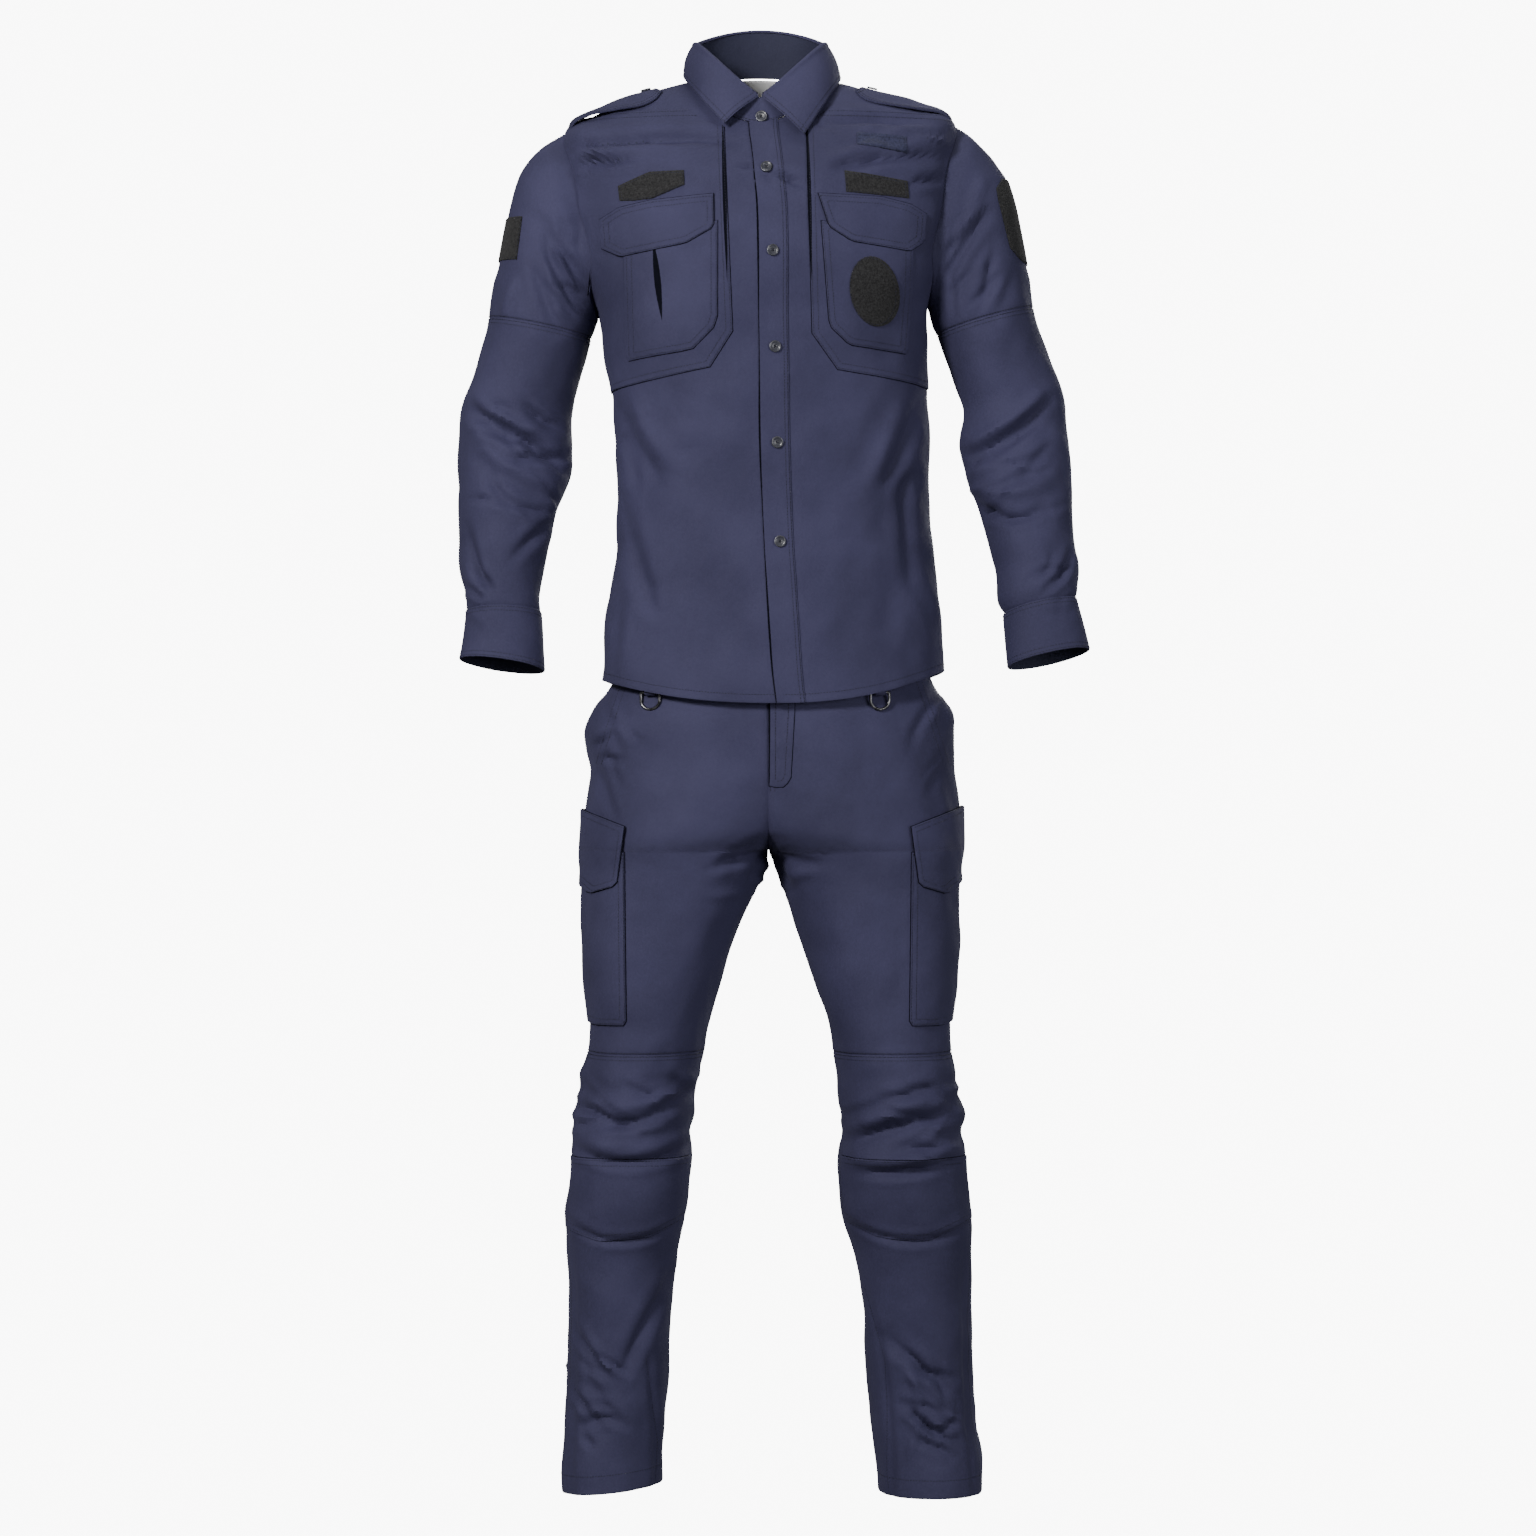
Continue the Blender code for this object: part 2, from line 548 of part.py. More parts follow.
def make_body():
    """Fronts, back, placket and the chest panels that hide the document pockets."""
    sheets = {side: front_sheet(side) for side in (RIGHT, LEFT)}
    names = {RIGHT: "right", LEFT: "left"}
    for side, sheet in sheets.items():
        wall(f"shirt_front_{names[side]}", sheet.trimmed(SEAM / 2, ["first_column", "last_column"]))
    rows = np.array(BODY_ROWS, float)
    reach = armhole_turn(rows, TORSO.at(rows)["turn_back"])
    back = torso_sheet(rows, 180 + np.linspace(-1, 1, 17)[None] * reach[:, None])
    wall("shirt_back", back.trimmed(SEAM / 2, ["first_column", "last_column"]))
    strip = sheets[RIGHT].part(columns=slice(-2, None)).joined(sheets[LEFT].part(columns=slice(0, 2)))
    placket = thickened("placket", strip.trimmed(1.0, ["last_row"]).surface(), SEAM, SEAM + LAYER, cloth)
    return sheets, back, placket


def make_chest(sheets):
    """The big chest panels, the patch pockets with their flaps, and the loop-tape patches."""
    rows = slice(BODY_ROWS.index(8), BODY_ROWS.index(17) + 1)
    on = {side: sheet.part(rows=rows, columns=slice(1, -1)) for side, sheet in sheets.items()}
    sewn_on("chest_panel_right", on[RIGHT], [(-48.5, -20), (-38, -266), (-63, -305), (-121, -315), (-260, -341), (-260, -20)])
    sewn_on("chest_panel_left", on[LEFT], [(41, -20), (47.5, -268), (75, -306), (120, -312), (260, -330), (260, -20)])
    sewn_on("pocket_right", on[RIGHT], [(-155, -160), (-54, -148), (-54, -254), (-80, -284), (-149, -294)], 1)
    sewn_on("pocket_left", on[LEFT], [(57, -148), (156, -160), (155, -222), (148, -286), (90, -280), (68, -262)], 1)
    sewn_on(
        "pocket_flap_right", on[RIGHT],
        [(-180, -142), (-159, -131), (-125, -125), (-58.6, -119), (-58, -153), (-86, -171), (-157, -183), (-177.5, -172)], 2,
    )
    sewn_on(
        "pocket_flap_left", on[LEFT],
        [(54, -118.5), (121.5, -120.5), (153, -127), (169, -135.5), (166.5, -164.5), (150.5, -176.5), (89, -169), (65.5, -154)], 2,
    )
    sewn_on("badge_patch", on[RIGHT], [(-161, -107), (-127, -93), (-90.5, -92), (-89.5, -108), (-124, -122.5), (-144, -124), (-159, -123)], 1, look=loop_tape)
    sewn_on("name_patch", on[LEFT], [(82, -92), (149.5, -101.5), (151, -120), (84, -115.5)], 1, look=loop_tape)
    sewn_on("rank_patch", on[LEFT], [(96, -48.5), (149, -52.5), (149.5, -70.5), (96, -62.5)], 1)
    oval = [
        (112.5 + (27 if math.cos(a) > 0 else 26) * math.cos(a), -222 + 37 * math.sin(a) - 4 * math.cos(a))
        for a in np.linspace(0, math.tau, 20, endpoint=False)
    ]
    sewn_on("badge_oval", on[LEFT], oval, 2, look=loop_tape)


# The collar. Each row is a direction round the neck, 0 at the front and 180 at the back, with the
# place of the leaf's lower edge there. The leaf's two front corners are its first and last rows.
LEAF_EDGE = Table(
    "angle x y z",
    [
        [-176.9, -11, 88, 44], [-135, -73, 62, 40], [-90, -93, -2, 27], [-45, -76, -60, -4], [-4, -48, -94, -38],
    ],
)
LEAF_EDGE_LEFT = Table(
    "angle x y z",
    [
        [4, 39.3, -97, -50.5], [45, 65, -65, -8], [90, 79, -2, 25], [135, 54, 62, 38], [183.1, -11, 88, 44],
    ],
)
FOLD_HALF, FOLD_FRONT, FOLD_BACK, FOLD_CENTRE = 75.0, 79.0, 68.0, -8.6


def fold_line(angle, inside=0.0):
    """The collar's top edge, where the leaf turns over the stand; inside moves it to the neck."""
    turn = np.radians(angle)
    across, ahead = np.sin(turn), np.cos(turn)
    reach = np.where(ahead > 0, FOLD_FRONT, FOLD_BACK) - inside
    rise = np.where(ahead > 0, -8 + 67 * np.abs(across) ** 1.15, 59 + 25 * np.abs(ahead) ** 1.5)
    return np.stack([FOLD_CENTRE + (FOLD_HALF - inside) * across, 2 - reach * ahead - 2 * np.abs(across), rise], -1)


def make_collar():
    """The stand round the neck, the turned-down leaf, and the blank label at the back neck."""
    angles = np.linspace(0, 360, 25)[None] + np.linspace(3, 0, 25)[None] * 0
    low = torso(np.full((1, 25), float(NECK_ROW)), angles)[0] + [0, 0, 0.8]
    top = fold_line(angles[0], inside=3.0)
    share = np.linspace(0, 1, 4)[:, None, None]
    points = low + (top - low) * share
    around = np.gradient(points, axis=1)
    around[:, 0] = around[:, -1] = points[:, 1] - points[:, -2]
    normals = np.cross(around, (top - low)[None])
    normals /= np.linalg.norm(normals, axis=-1, keepdims=True)
    stand = wall("collar_stand", Sheet(points, normals).trimmed(SEAM / 2, ["first_column", "last_column"]))

    columns = 11
    half_sheets = []
    for table in (LEAF_EDGE, LEAF_EDGE_LEFT):
        edge = table.at(np.linspace(0, 4, columns))
        top = fold_line(edge["angle"])
        bottom = np.stack([edge["x"], edge["y"], edge["z"]], -1)
        half_sheets.append((top, bottom))
    top = np.concatenate([half_sheets[1][0], half_sheets[0][0][1:]])
    bottom = np.concatenate([half_sheets[1][1], half_sheets[0][1][1:]])
    share = np.linspace(0, 1, 5)[:, None, None]
    points = top + (bottom - top) * share
    puff = np.sin(np.pi * share) * 2.5
    around = np.gradient(points, axis=1)
    normals = np.cross(around, (top - bottom)[None])
    normals /= np.linalg.norm(normals, axis=-1, keepdims=True)
    wall("collar_leaf", Sheet(points + normals * puff, normals))
    return stand


def make_label(back):
    """A blank satin label inside the back neck."""
    rows = slice(BODY_ROWS.index(15), None)
    inside = back.part(rows=rows).trimmed(2.0, ["last_row"])
    inside = Sheet(inside.points - inside.normals * CLOTH, -inside.normals)
    sewn_on("neck_label", inside, [(-27, -8), (21, -8), (21, 60), (-27, 60)], thickness=1.0, look=satin)


def sleeve_sheet(side, table, rows, with_armhole=True):
    """A sheet all round a sleeve, with the armhole's own corner points on its first ring."""
    turns = np.linspace(0, 360, 17)[None]
    rows = np.array(rows, float)[:, None]

    def place(row, turn):
        row = np.clip(row, 0, len(table.rows) - 1)
        if with_armhole:
            return sleeve(side, table, row, turn)
        row, turn = np.broadcast_arrays(row, turn)
        return ring_point(table.at(row), turn)

    points = place(rows, turns)
    centre = points[:, :-1].mean(1, keepdims=True)
    normals = normals_of(place, rows, turns, lambda p: p - centre, row_step=0.05)
    normals[:, -1] = normals[:, 0]
    moved = folded(points, normals, TORSO.rows[0, 8] + table.at(rows)["middle_y"])
    if with_armhole:
        moved[0] = points[0]
    return Sheet(moved, normals)


def make_sleeve(side, name, table, cuff):
    """The fronts and backs of the upper and lower sleeve, seamed outside and under the arm, and the cuff."""
    upper = sleeve_sheet(side, table, range(ELBOW_SEAM_ROW + 1))
    upper = upper.trimmed(0.6, ["first_row"]).trimmed(SEAM / 2, ["last_row"])
    lower = sleeve_sheet(side, table, range(ELBOW_SEAM_ROW, SLEEVE_END_ROW + 1))
    lower = lower.trimmed(SEAM / 2, ["first_row", "last_row"])
    half, seams = upper.points.shape[1] // 2, ["first_column", "last_column"]
    for sheet, front, back in ((upper, "sleeve_upper", "sleeve_back"), (lower, "sleeve_lower", "sleeve_elbow")):
        wall(f"{front}_{name}", sheet.part(columns=slice(0, half + 1)).trimmed(SEAM / 2, seams))
        wall(f"{back}_{name}", sheet.part(columns=slice(half, None)).trimmed(SEAM / 2, seams))
    band = sleeve_sheet(side, cuff, [0, 1, 2], with_armhole=False)
    made = wall(f"cuff_{name}", band.trimmed(SEAM / 2, ["first_row"]), closed=True)
    return upper, made


def make_arm_patches(upper_right, upper_left):
    """A flag patch on the right arm and a shield patch on the left, each in black loop tape."""
    outside = {}
    for name, sheet in (("right", upper_right), ("left", upper_left)):
        first = sheet.part(rows=slice(1, 7), columns=slice(-5, None))
        outside[name] = first.joined(sheet.part(rows=slice(1, 7), columns=slice(0, 5)))
    sewn_on("arm_patch_right", outside["right"], [(-50, -128), (26, -128), (26, -178), (-50, -178)], look=loop_tape, view="side")
    shield = [(-50, -100), (-38, -87), (30, -87), (42, -100), (40, -140), (22, -168), (-4, -181), (-32, -168), (-50, -140)]
    sewn_on("arm_patch_left", outside["left"], shield, look=loop_tape, view="side")


# An epaulette lies over the shoulder seam and bows clear of it: rise is its height above the
# shoulder and reach how far round from the seam its edges lie, in degrees.
EPAULETTE = Table(
    "row rise reach",
    [[14.12, 0.5, 10], [14.5, 5.5, 10], [15, 8.5, 10], [15.6, 7.5, 10], [16.2, 4.5, 11], [16.7, 1.2, 12], [17.05, 0.6, 8]],
)


def make_epaulette(side, name):
    """A shoulder strap, sewn in at the sleeve and buttoned near the collar."""
    cut = EPAULETTE.at(np.arange(7))
    rows = cut["row"][:, None]
    angles = side * (90 + np.linspace(-1, 1, 5)[None] * cut["reach"][:, None])
    normals = normals_of(torso, rows, angles, lambda p: p * [0, 0, 0] + [0, 0, 1.0])
    points = torso(rows, angles) + normals * cut["rise"][:, None, None]
    strap = thickened(f"epaulette_{name}", Sheet(points, normals).surface(), 0, 2.0, cloth)
    row, angle = 16.75, side * 84.0
    top = strap_top(strap, torso(np.array(row), np.array(angle)))
    button(f"epaulette_button_{name}", *top, radius=5.6)


def strap_top(strap, place):
    """Where a line straight down meets the strap over a place."""
    tree = BVHTree.FromPolygons([v.co for v in strap.data.vertices], [p.vertices for p in strap.data.polygons])
    point, normal, _, _ = tree.ray_cast(Vector((place[0], place[1], 300)) * MM, Vector((0, 0, -1)))
    return point, normal


def trouser_sheet(side, rows, turns):
    """A sheet of one half of the trousers."""
    rows = np.array(rows, float)[:, None]
    turns = np.array(turns, float)[None]

    def place(row, turn):
        return trouser_half(side, np.clip(row, 0, HEM_ROW), np.clip(turn, -1, 1))

    points = place(rows, turns)
    cut = TROUSERS.at(rows)
    inner = cut["inner_right"] if side == RIGHT else cut["inner_left"]
    outer = cut["outer_right"] if side == RIGHT else cut["outer_left"]
    middle_y = (cut["front"] + cut["back"]) / 2
    middle_x = HIP_CENTRE + side * np.where(rows < CROTCH_ROW, outer * 0.35 * (1 - cut["open"]), (inner + outer) / 2)

    def outward(p):
        return np.stack([p[..., 0] - middle_x, p[..., 1] - middle_y, np.zeros_like(p[..., 0])], -1)

    normals = normals_of(place, rows, turns, outward, turn_step=0.01)
    return Sheet(folded(points, normals, middle_y), normals)


FRONT_TURNS = [-1, -0.95, -0.8, -0.64, -0.48, -0.32, -0.17, -0.05, 0]
BACK_TURNS = np.linspace(0, 1, 8)


def make_leg(side, name):
    """Thigh front, shin front and back of one leg, cut at the knee seam."""
    rows = np.arange(YOKE_ROW, HEM_ROW + 1)
    front = trouser_sheet(side, rows, FRONT_TURNS)
    back = trouser_sheet(side, rows, BACK_TURNS)
    knee = KNEE_SEAM_ROW - YOKE_ROW
    sides = ["first_column", "last_column"]
    half_gap = SEAM / 2
    wall(f"trouser_thigh_{name}", front.part(rows=slice(0, knee + 1)).trimmed(half_gap, sides + ["first_row", "last_row"]))
    wall(f"trouser_shin_{name}", front.part(rows=slice(knee, None)).trimmed(half_gap, sides + ["first_row"]))
    wall(f"trouser_back_{name}", back.trimmed(half_gap, sides + ["first_row"]))
    return front, back


def make_trouser_layers(sheets):
    """Fly, cargo pockets and flaps, and the knee patches."""
    front, _ = sheets[LEFT]
    top = front.part(rows=slice(0, 10))
    sewn_on("fly", top, [(1.5, -604), (1.5, -754), (16.5, -755), (24.5, -745), (28.5, -675), (29, -604)])
    pocket = [(155, -826), (153, -1008), (185, -1014), (240, -1001), (240, -826)]
    flap = [(153, -799), (161, -860), (191, -870), (240, -836), (240, -766)]
    knee = {RIGHT: [(-240, -1158), (-70, -1158), (-80, -1221), (-101, -1228), (-137, -1244.5), (-181, -1248), (-218, -1238), (-240, -1228)],
            LEFT: [(240, -1158), (70, -1158), (75, -1222), (88, -1229.5), (118, -1243), (167, -1248), (222, -1228), (240, -1220)]}
    for side, name in ((RIGHT, "right"), (LEFT, "left")):
        front, back = sheets[side]
        round_side = front.joined(back).part(rows=slice(6, 17), columns=slice(0, -3))
        sewn_on(f"cargo_pocket_{name}", round_side, [(side * x, z) for x, z in pocket], 0, 2.4, behind=58)
        sewn_on(f"cargo_flap_{name}", round_side, [(side * x, z) for x, z in flap], 2, 1.8, behind=62)
        low = front.part(rows=slice(17, 28), columns=slice(1, -1))
        sewn_on(f"knee_patch_{name}", low, knee[side])


def make_waistband():
    """A closed band above both halves of the trousers."""
    rows = [WAIST_ROW, 0.5, YOKE_ROW]
    turns = np.linspace(-1, 1, 17)
    half = {side: trouser_sheet(side, rows, turns) for side in (RIGHT, LEFT)}
    ring = half[LEFT].joined(half[RIGHT].part(columns=slice(None, None, -1)))
    ring.points[:, 16, 0] = ring.points[:, 0, 0] = ring.points[:, -1, 0] = HIP_CENTRE
    wall("waistband", ring.trimmed(SEAM / 2, ["last_row"]), 2.6, closed=True)


WIRE = 1.6  # radius of the ring's wire
RING_HALF, RING_DROP = 11.4, 20.0
RING_BAR_Z = -653.0
RING_OFF = 7.5  # how far the bar stands off the trousers
RING_SLANT = 27.0  # degrees between the bar and the X axis, the way the hip curves
TAB_HALF = 6.0


def make_ring(side, name, x, thigh):
    """A D-ring hanging in a folded cloth tab on the trousers' front."""
    point, _ = seat_on(thigh, x, RING_BAR_Z)
    slant = math.radians(RING_SLANT) * side
    along = Vector((math.cos(slant), math.sin(slant), 0))
    out = Vector((math.sin(slant), -math.cos(slant), 0))
    bar = point / MM + out * RING_OFF
    curve = bpy.data.curves.new(f"d_ring_{name}", "CURVE")
    curve.dimensions = "3D"
    curve.bevel_depth = WIRE * MM
    curve.bevel_resolution = 1
    spline = curve.splines.new("POLY")
    straight = RING_DROP - WIRE - 10
    path = [(-RING_HALF, 0), (0, 0), (RING_HALF, 0)]
    path += [(RING_HALF * math.cos(a), -straight + 10 * math.sin(a)) for a in np.linspace(0, -math.pi, 12)]
    spline.points.add(len(path) - 1)
    for corner, (run, drop) in zip(spline.points, path):
        corner.co = (*(bar + along * run + Vector((0, 0, drop))) * MM, 1)
    spline.use_cyclic_u = True
    ring = bpy.data.objects.new(f"d_ring_{name}", curve)
    curve.materials.append(metal)
    uniform.objects.link(ring)

    inner, outer = WIRE + 0.7, WIRE + 2.0
    arc = np.linspace(0, math.pi, 7)
    rise = 34.0
    made = bmesh.new()
    ends = []
    for run in (-TAB_HALF, TAB_HALF):
        end = bar + along * run
        top, _ = seat_on(thigh, end.x, RING_BAR_Z + rise)
        sewn = top / MM - Vector((0, SEAM + 0.7, 0))
        path = [(-outer * math.cos(a), -outer * math.sin(a)) for a in arc]
        path += [(outer, 6.0), (inner, 6.0)]
        path += [(-inner * math.cos(a), -inner * math.sin(a)) for a in arc[::-1]]
        loop = [end + out * o + Vector((0, 0, h)) for o, h in path]
        ends.append([made.verts.new(p) for p in [sewn, *loop, sewn - Vector((0, 1.4, 0))]])
    made.faces.new(ends[0])
    made.faces.new(ends[1][::-1])
    for a, b, c, d in zip(ends[0], ends[0][1:] + ends[0][:1], ends[1][1:] + ends[1][:1], ends[1]):
        made.faces.new([a, b, c, d])
    object_of(f"ring_tab_{name}", made, cloth)


BUTTONS = [
    # x, z of the middle of each front button, from the neck down
    ("collar", -7.0, -29.7), ("1", -1.5, -88.8), ("2", 5.0, -180.0), ("3", 7.5, -282.5), ("4", 9.8, -384.9), ("5", 13.0, -491.2),
]


def make_buttons(stand, placket, cuffs):
    """Six buttons down the front and one on each cuff's back."""
    for name, x, z in BUTTONS:
        holder = stand if name == "collar" else placket
        button(f"button_{name}", *seat_on(holder, x, z))
    for name, cuff, x, z in (("right", cuffs["right"], -276, -590), ("left", cuffs["left"], 285, -585)):
        button(f"cuff_button_{name}", *seat_on(cuff, x, z, towards=-1), radius=5.6)


sheets, back, placket = make_body()
make_chest(sheets)
stand = make_collar()
make_label(back)
upper_right, cuff_right = make_sleeve(RIGHT, "right", SLEEVE_RIGHT, CUFF_RIGHT)
upper_left, cuff_left = make_sleeve(LEFT, "left", SLEEVE_LEFT, CUFF_LEFT)
make_arm_patches(upper_right, upper_left)
for side, name in ((RIGHT, "right"), (LEFT, "left")):
    make_epaulette(side, name)
make_buttons(stand, placket, {"right": cuff_right, "left": cuff_left})
legs = {side: make_leg(side, name) for side, name in ((RIGHT, "right"), (LEFT, "left"))}
make_trouser_layers(legs)
make_waistband()
make_ring(RIGHT, "right", -124.0, bpy.data.objects["trouser_thigh_right"])
make_ring(LEFT, "left", 117.5, bpy.data.objects["trouser_thigh_left"])
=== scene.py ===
"""The looks of a security guard uniform: a navy patrol shirt and cargo trousers.

Sizes are millimetres in the tables and metres in the meshes. Right and left are the wearer's,
so the right side is at -X and the chest faces -Y.
"""

import math

import bmesh
import bpy
import numpy as np
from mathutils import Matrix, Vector
from mathutils.bvhtree import BVHTree


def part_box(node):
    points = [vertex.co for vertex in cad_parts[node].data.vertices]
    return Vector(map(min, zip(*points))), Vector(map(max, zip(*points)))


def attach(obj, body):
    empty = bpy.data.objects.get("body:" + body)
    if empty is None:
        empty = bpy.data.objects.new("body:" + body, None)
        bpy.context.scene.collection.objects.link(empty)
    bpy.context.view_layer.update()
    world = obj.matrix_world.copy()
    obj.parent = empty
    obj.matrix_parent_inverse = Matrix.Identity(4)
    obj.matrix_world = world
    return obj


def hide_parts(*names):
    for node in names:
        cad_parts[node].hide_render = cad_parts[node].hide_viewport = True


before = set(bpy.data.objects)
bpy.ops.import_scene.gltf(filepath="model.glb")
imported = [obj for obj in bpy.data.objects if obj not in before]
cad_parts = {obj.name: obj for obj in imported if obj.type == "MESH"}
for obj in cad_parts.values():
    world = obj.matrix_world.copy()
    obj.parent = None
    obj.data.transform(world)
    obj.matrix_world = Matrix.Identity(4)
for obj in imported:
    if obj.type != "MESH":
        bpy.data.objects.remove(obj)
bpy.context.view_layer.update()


# Navy twill
# The uniform's cloth is a mid-weight polyester and cotton twill, dyed dark navy. Its diagonal
# ribs follow the cut, so they read each piece's own UV map, which is laid out in metres.
class Wire:
    """A value that a material works out over the surface, written with ordinary arithmetic."""

    def __init__(self, look, socket):
        self.look, self.socket = look, socket

    def _math(self, operation, *values):
        return self.look.node("Math", {"operation": operation}, *values)

    def __add__(self, other):
        return self._math("ADD", self, other)

    def __sub__(self, other):
        return self._math("SUBTRACT", self, other)

    def __rsub__(self, other):
        return self._math("SUBTRACT", other, self)

    def __mul__(self, other):
        return self._math("MULTIPLY", self, other)

    def wave(self, pitch):
        """A ripple between 0 and 1 that repeats at each pitch, in metres."""
        return self._math("SINE", self * (math.tau / pitch)) * 0.5 + 0.5

    def within(self, low, high):
        """0 up to low, 1 from high on, and a soft step between."""
        return self.look.node("MapRange", {"interpolation_type": "SMOOTHSTEP"}, self, low, high, 0.0, 1.0)

    __radd__, __rmul__ = __add__, __mul__


class Look:
    """One material, with the Principled shader's constant values set on its own sockets."""

    def __init__(self, name, **constants):
        self.material = bpy.data.materials.new(name)
        self.material.use_nodes = True
        self.tree = self.material.node_tree
        self.shader = self.tree.nodes["Principled BSDF"]
        for socket, value in constants.items():
            self.shader.inputs[socket.replace("_", " ")].default_value = value

    def node(self, kind, settings, *values, output=0):
        made = self.tree.nodes.new("ShaderNode" + kind)
        for key, value in settings.items():
            setattr(made, key, value)
        for socket, value in zip(made.inputs, values):
            if isinstance(value, Wire):
                self.tree.links.new(value.socket, socket)
            elif value is not None:
                socket.default_value = value
        return Wire(self, made.outputs[output])

    def noise(self, scale, detail=2.0, place=None, kind="FBM"):
        place = place or self.node("TexCoord", {}, output=3)
        return self.node("TexNoise", {"noise_type": kind}, place, None, scale, detail)

    def cut(self):
        """Where a point lies on the flat cut piece: along the weft and along the warp."""
        parts = self.node("SeparateXYZ", {}, self.node("UVMap", {"uv_map": "cut"}))
        return parts, Wire(self, parts.socket.node.outputs[1])

    def mix(self, share, first, second):
        """A colour that share moves from the first to the second."""
        plain_inputs = [None] * 5
        colours = (*first, 1), (*second, 1)
        return self.node("Mix", {"data_type": "RGBA"}, share, *plain_inputs, *colours, output=2)

    def feed(self, socket, wire):
        self.tree.links.new(wire.socket, self.shader.inputs[socket])

    def bump(self, height, reach, under=None):
        """Relief from a height of 0 to 1 over reach metres, on top of the relief under it."""
        return self.node("Bump", {}, 1.0, reach, None, height, under)


def twill(name, dark, light):
    """The uniform's cloth, in two shades that its weave and its wear move between."""
    sheen = {"Sheen_Weight": 0.07, "Sheen_Roughness": 0.4, "Sheen_Tint": (0.32, 0.32, 0.58, 1)}
    look = Look(name, Specular_IOR_Level=0.24, **sheen)
    weft, warp = look.cut()
    rib = (weft + warp).wave(0.0013)
    yarn = (weft - warp * 0.35).wave(0.0011)
    slub = look.noise(420, 3)
    cloudy = look.noise(9, 4).within(0.3, 0.7)
    weave = rib * 0.65 + yarn * 0.2 + slub * 0.5
    tone = (cloudy * 0.35 + weave * 0.5).within(0.1, 0.85)
    look.feed("Base Color", look.mix(tone, dark, light))
    look.feed("Roughness", 0.86 - weave * 0.12)
    crumple = look.bump(look.noise(26, 5), 0.0016)

    # fine creases lie across the limbs, and gather at the joints and above the hems
    place = look.node("TexCoord", {}, output=3)
    across = look.node("SeparateXYZ", {}, place)
    up = Wire(look, across.socket.node.outputs[2])
    away = look.node("Math", {"operation": "ABSOLUTE"}, across)
    knees = up.within(-1.25, -1.15) * (1 - up.within(-1.06, -0.99))
    ankles = 1 - up.within(-1.48, -1.33)
    elbows = away.within(0.19, 0.23) * up.within(-0.60, -0.45) * (1 - up.within(-0.36, -0.22))
    armpits = away.within(0.14, 0.19) * up.within(-0.27, -0.20) * (1 - up.within(-0.12, -0.05))
    gathered = (knees + ankles + elbows + armpits) * 0.7 + 0.3
    squashed = look.node("VectorMath", {"operation": "MULTIPLY"}, place, (1, 1, 1.9))
    creases = look.noise(14, 3, squashed, "RIDGED_MULTIFRACTAL")
    creases = creases * look.noise(4).within(0.38, 0.62) * gathered
    look.feed("Normal", look.bump(weave, 0.00016, look.bump(creases, 0.006, crumple)))
    return look.material


navy = twill("navy twill", (0.0232, 0.0224, 0.0535), (0.0392, 0.0378, 0.0850))
# The inside faces of the navy pieces get this darker copy of the same twill, which is painted shade.
navy_shade = twill("navy twill, inside, painted shade", (0.0150, 0.0160, 0.0340), (0.0240, 0.0255, 0.0520))


# Fronts and back of the shirt
# The fronts meet under the placket and the back is one piece to the shoulder seams. Each is a
# thin cloth wall on the same form as its solid, with its folds and creases put in by place.
FRONT, BACK = -1, 1
RIGHT, LEFT = -1, 1
SIDES = {RIGHT: "right", LEFT: "left"}
CLOTH, LAYER, SEAM = 2.0, 1.4, 0.3  # the cloth's wall, a sewn-on piece's, and the gap under one
STEP = LAYER + SEAM
GRID = 3.9  # between two rows or columns of a sheet
MEET = -0.25  # how far a piece runs past its seam line
MM = 0.001


class Table:
    """Rows with named columns, read at any place between two rows along a smooth curve."""

    def __init__(self, columns, rows):
        self.names = columns.split()
        self.rows = np.array(rows, float)
        self.slopes = np.gradient(self.rows, axis=0)

    def at(self, place):
        top = len(self.rows) - 1
        place = np.clip(np.asarray(place, float), 0, top)
        low = np.minimum(place.astype(int), top - 1)
        t = (place - low)[..., None]
        a, b, da, db = self.rows[low], self.rows[low + 1], self.slopes[low], self.slopes[low + 1]
        value = (2 * t**3 - 3 * t**2 + 1) * a + (t**3 - 2 * t**2 + t) * da
        value = value + (3 * t**2 - 2 * t**3) * b + (t**3 - t**2) * db
        return {name: value[..., i] for i, name in enumerate(self.names)}


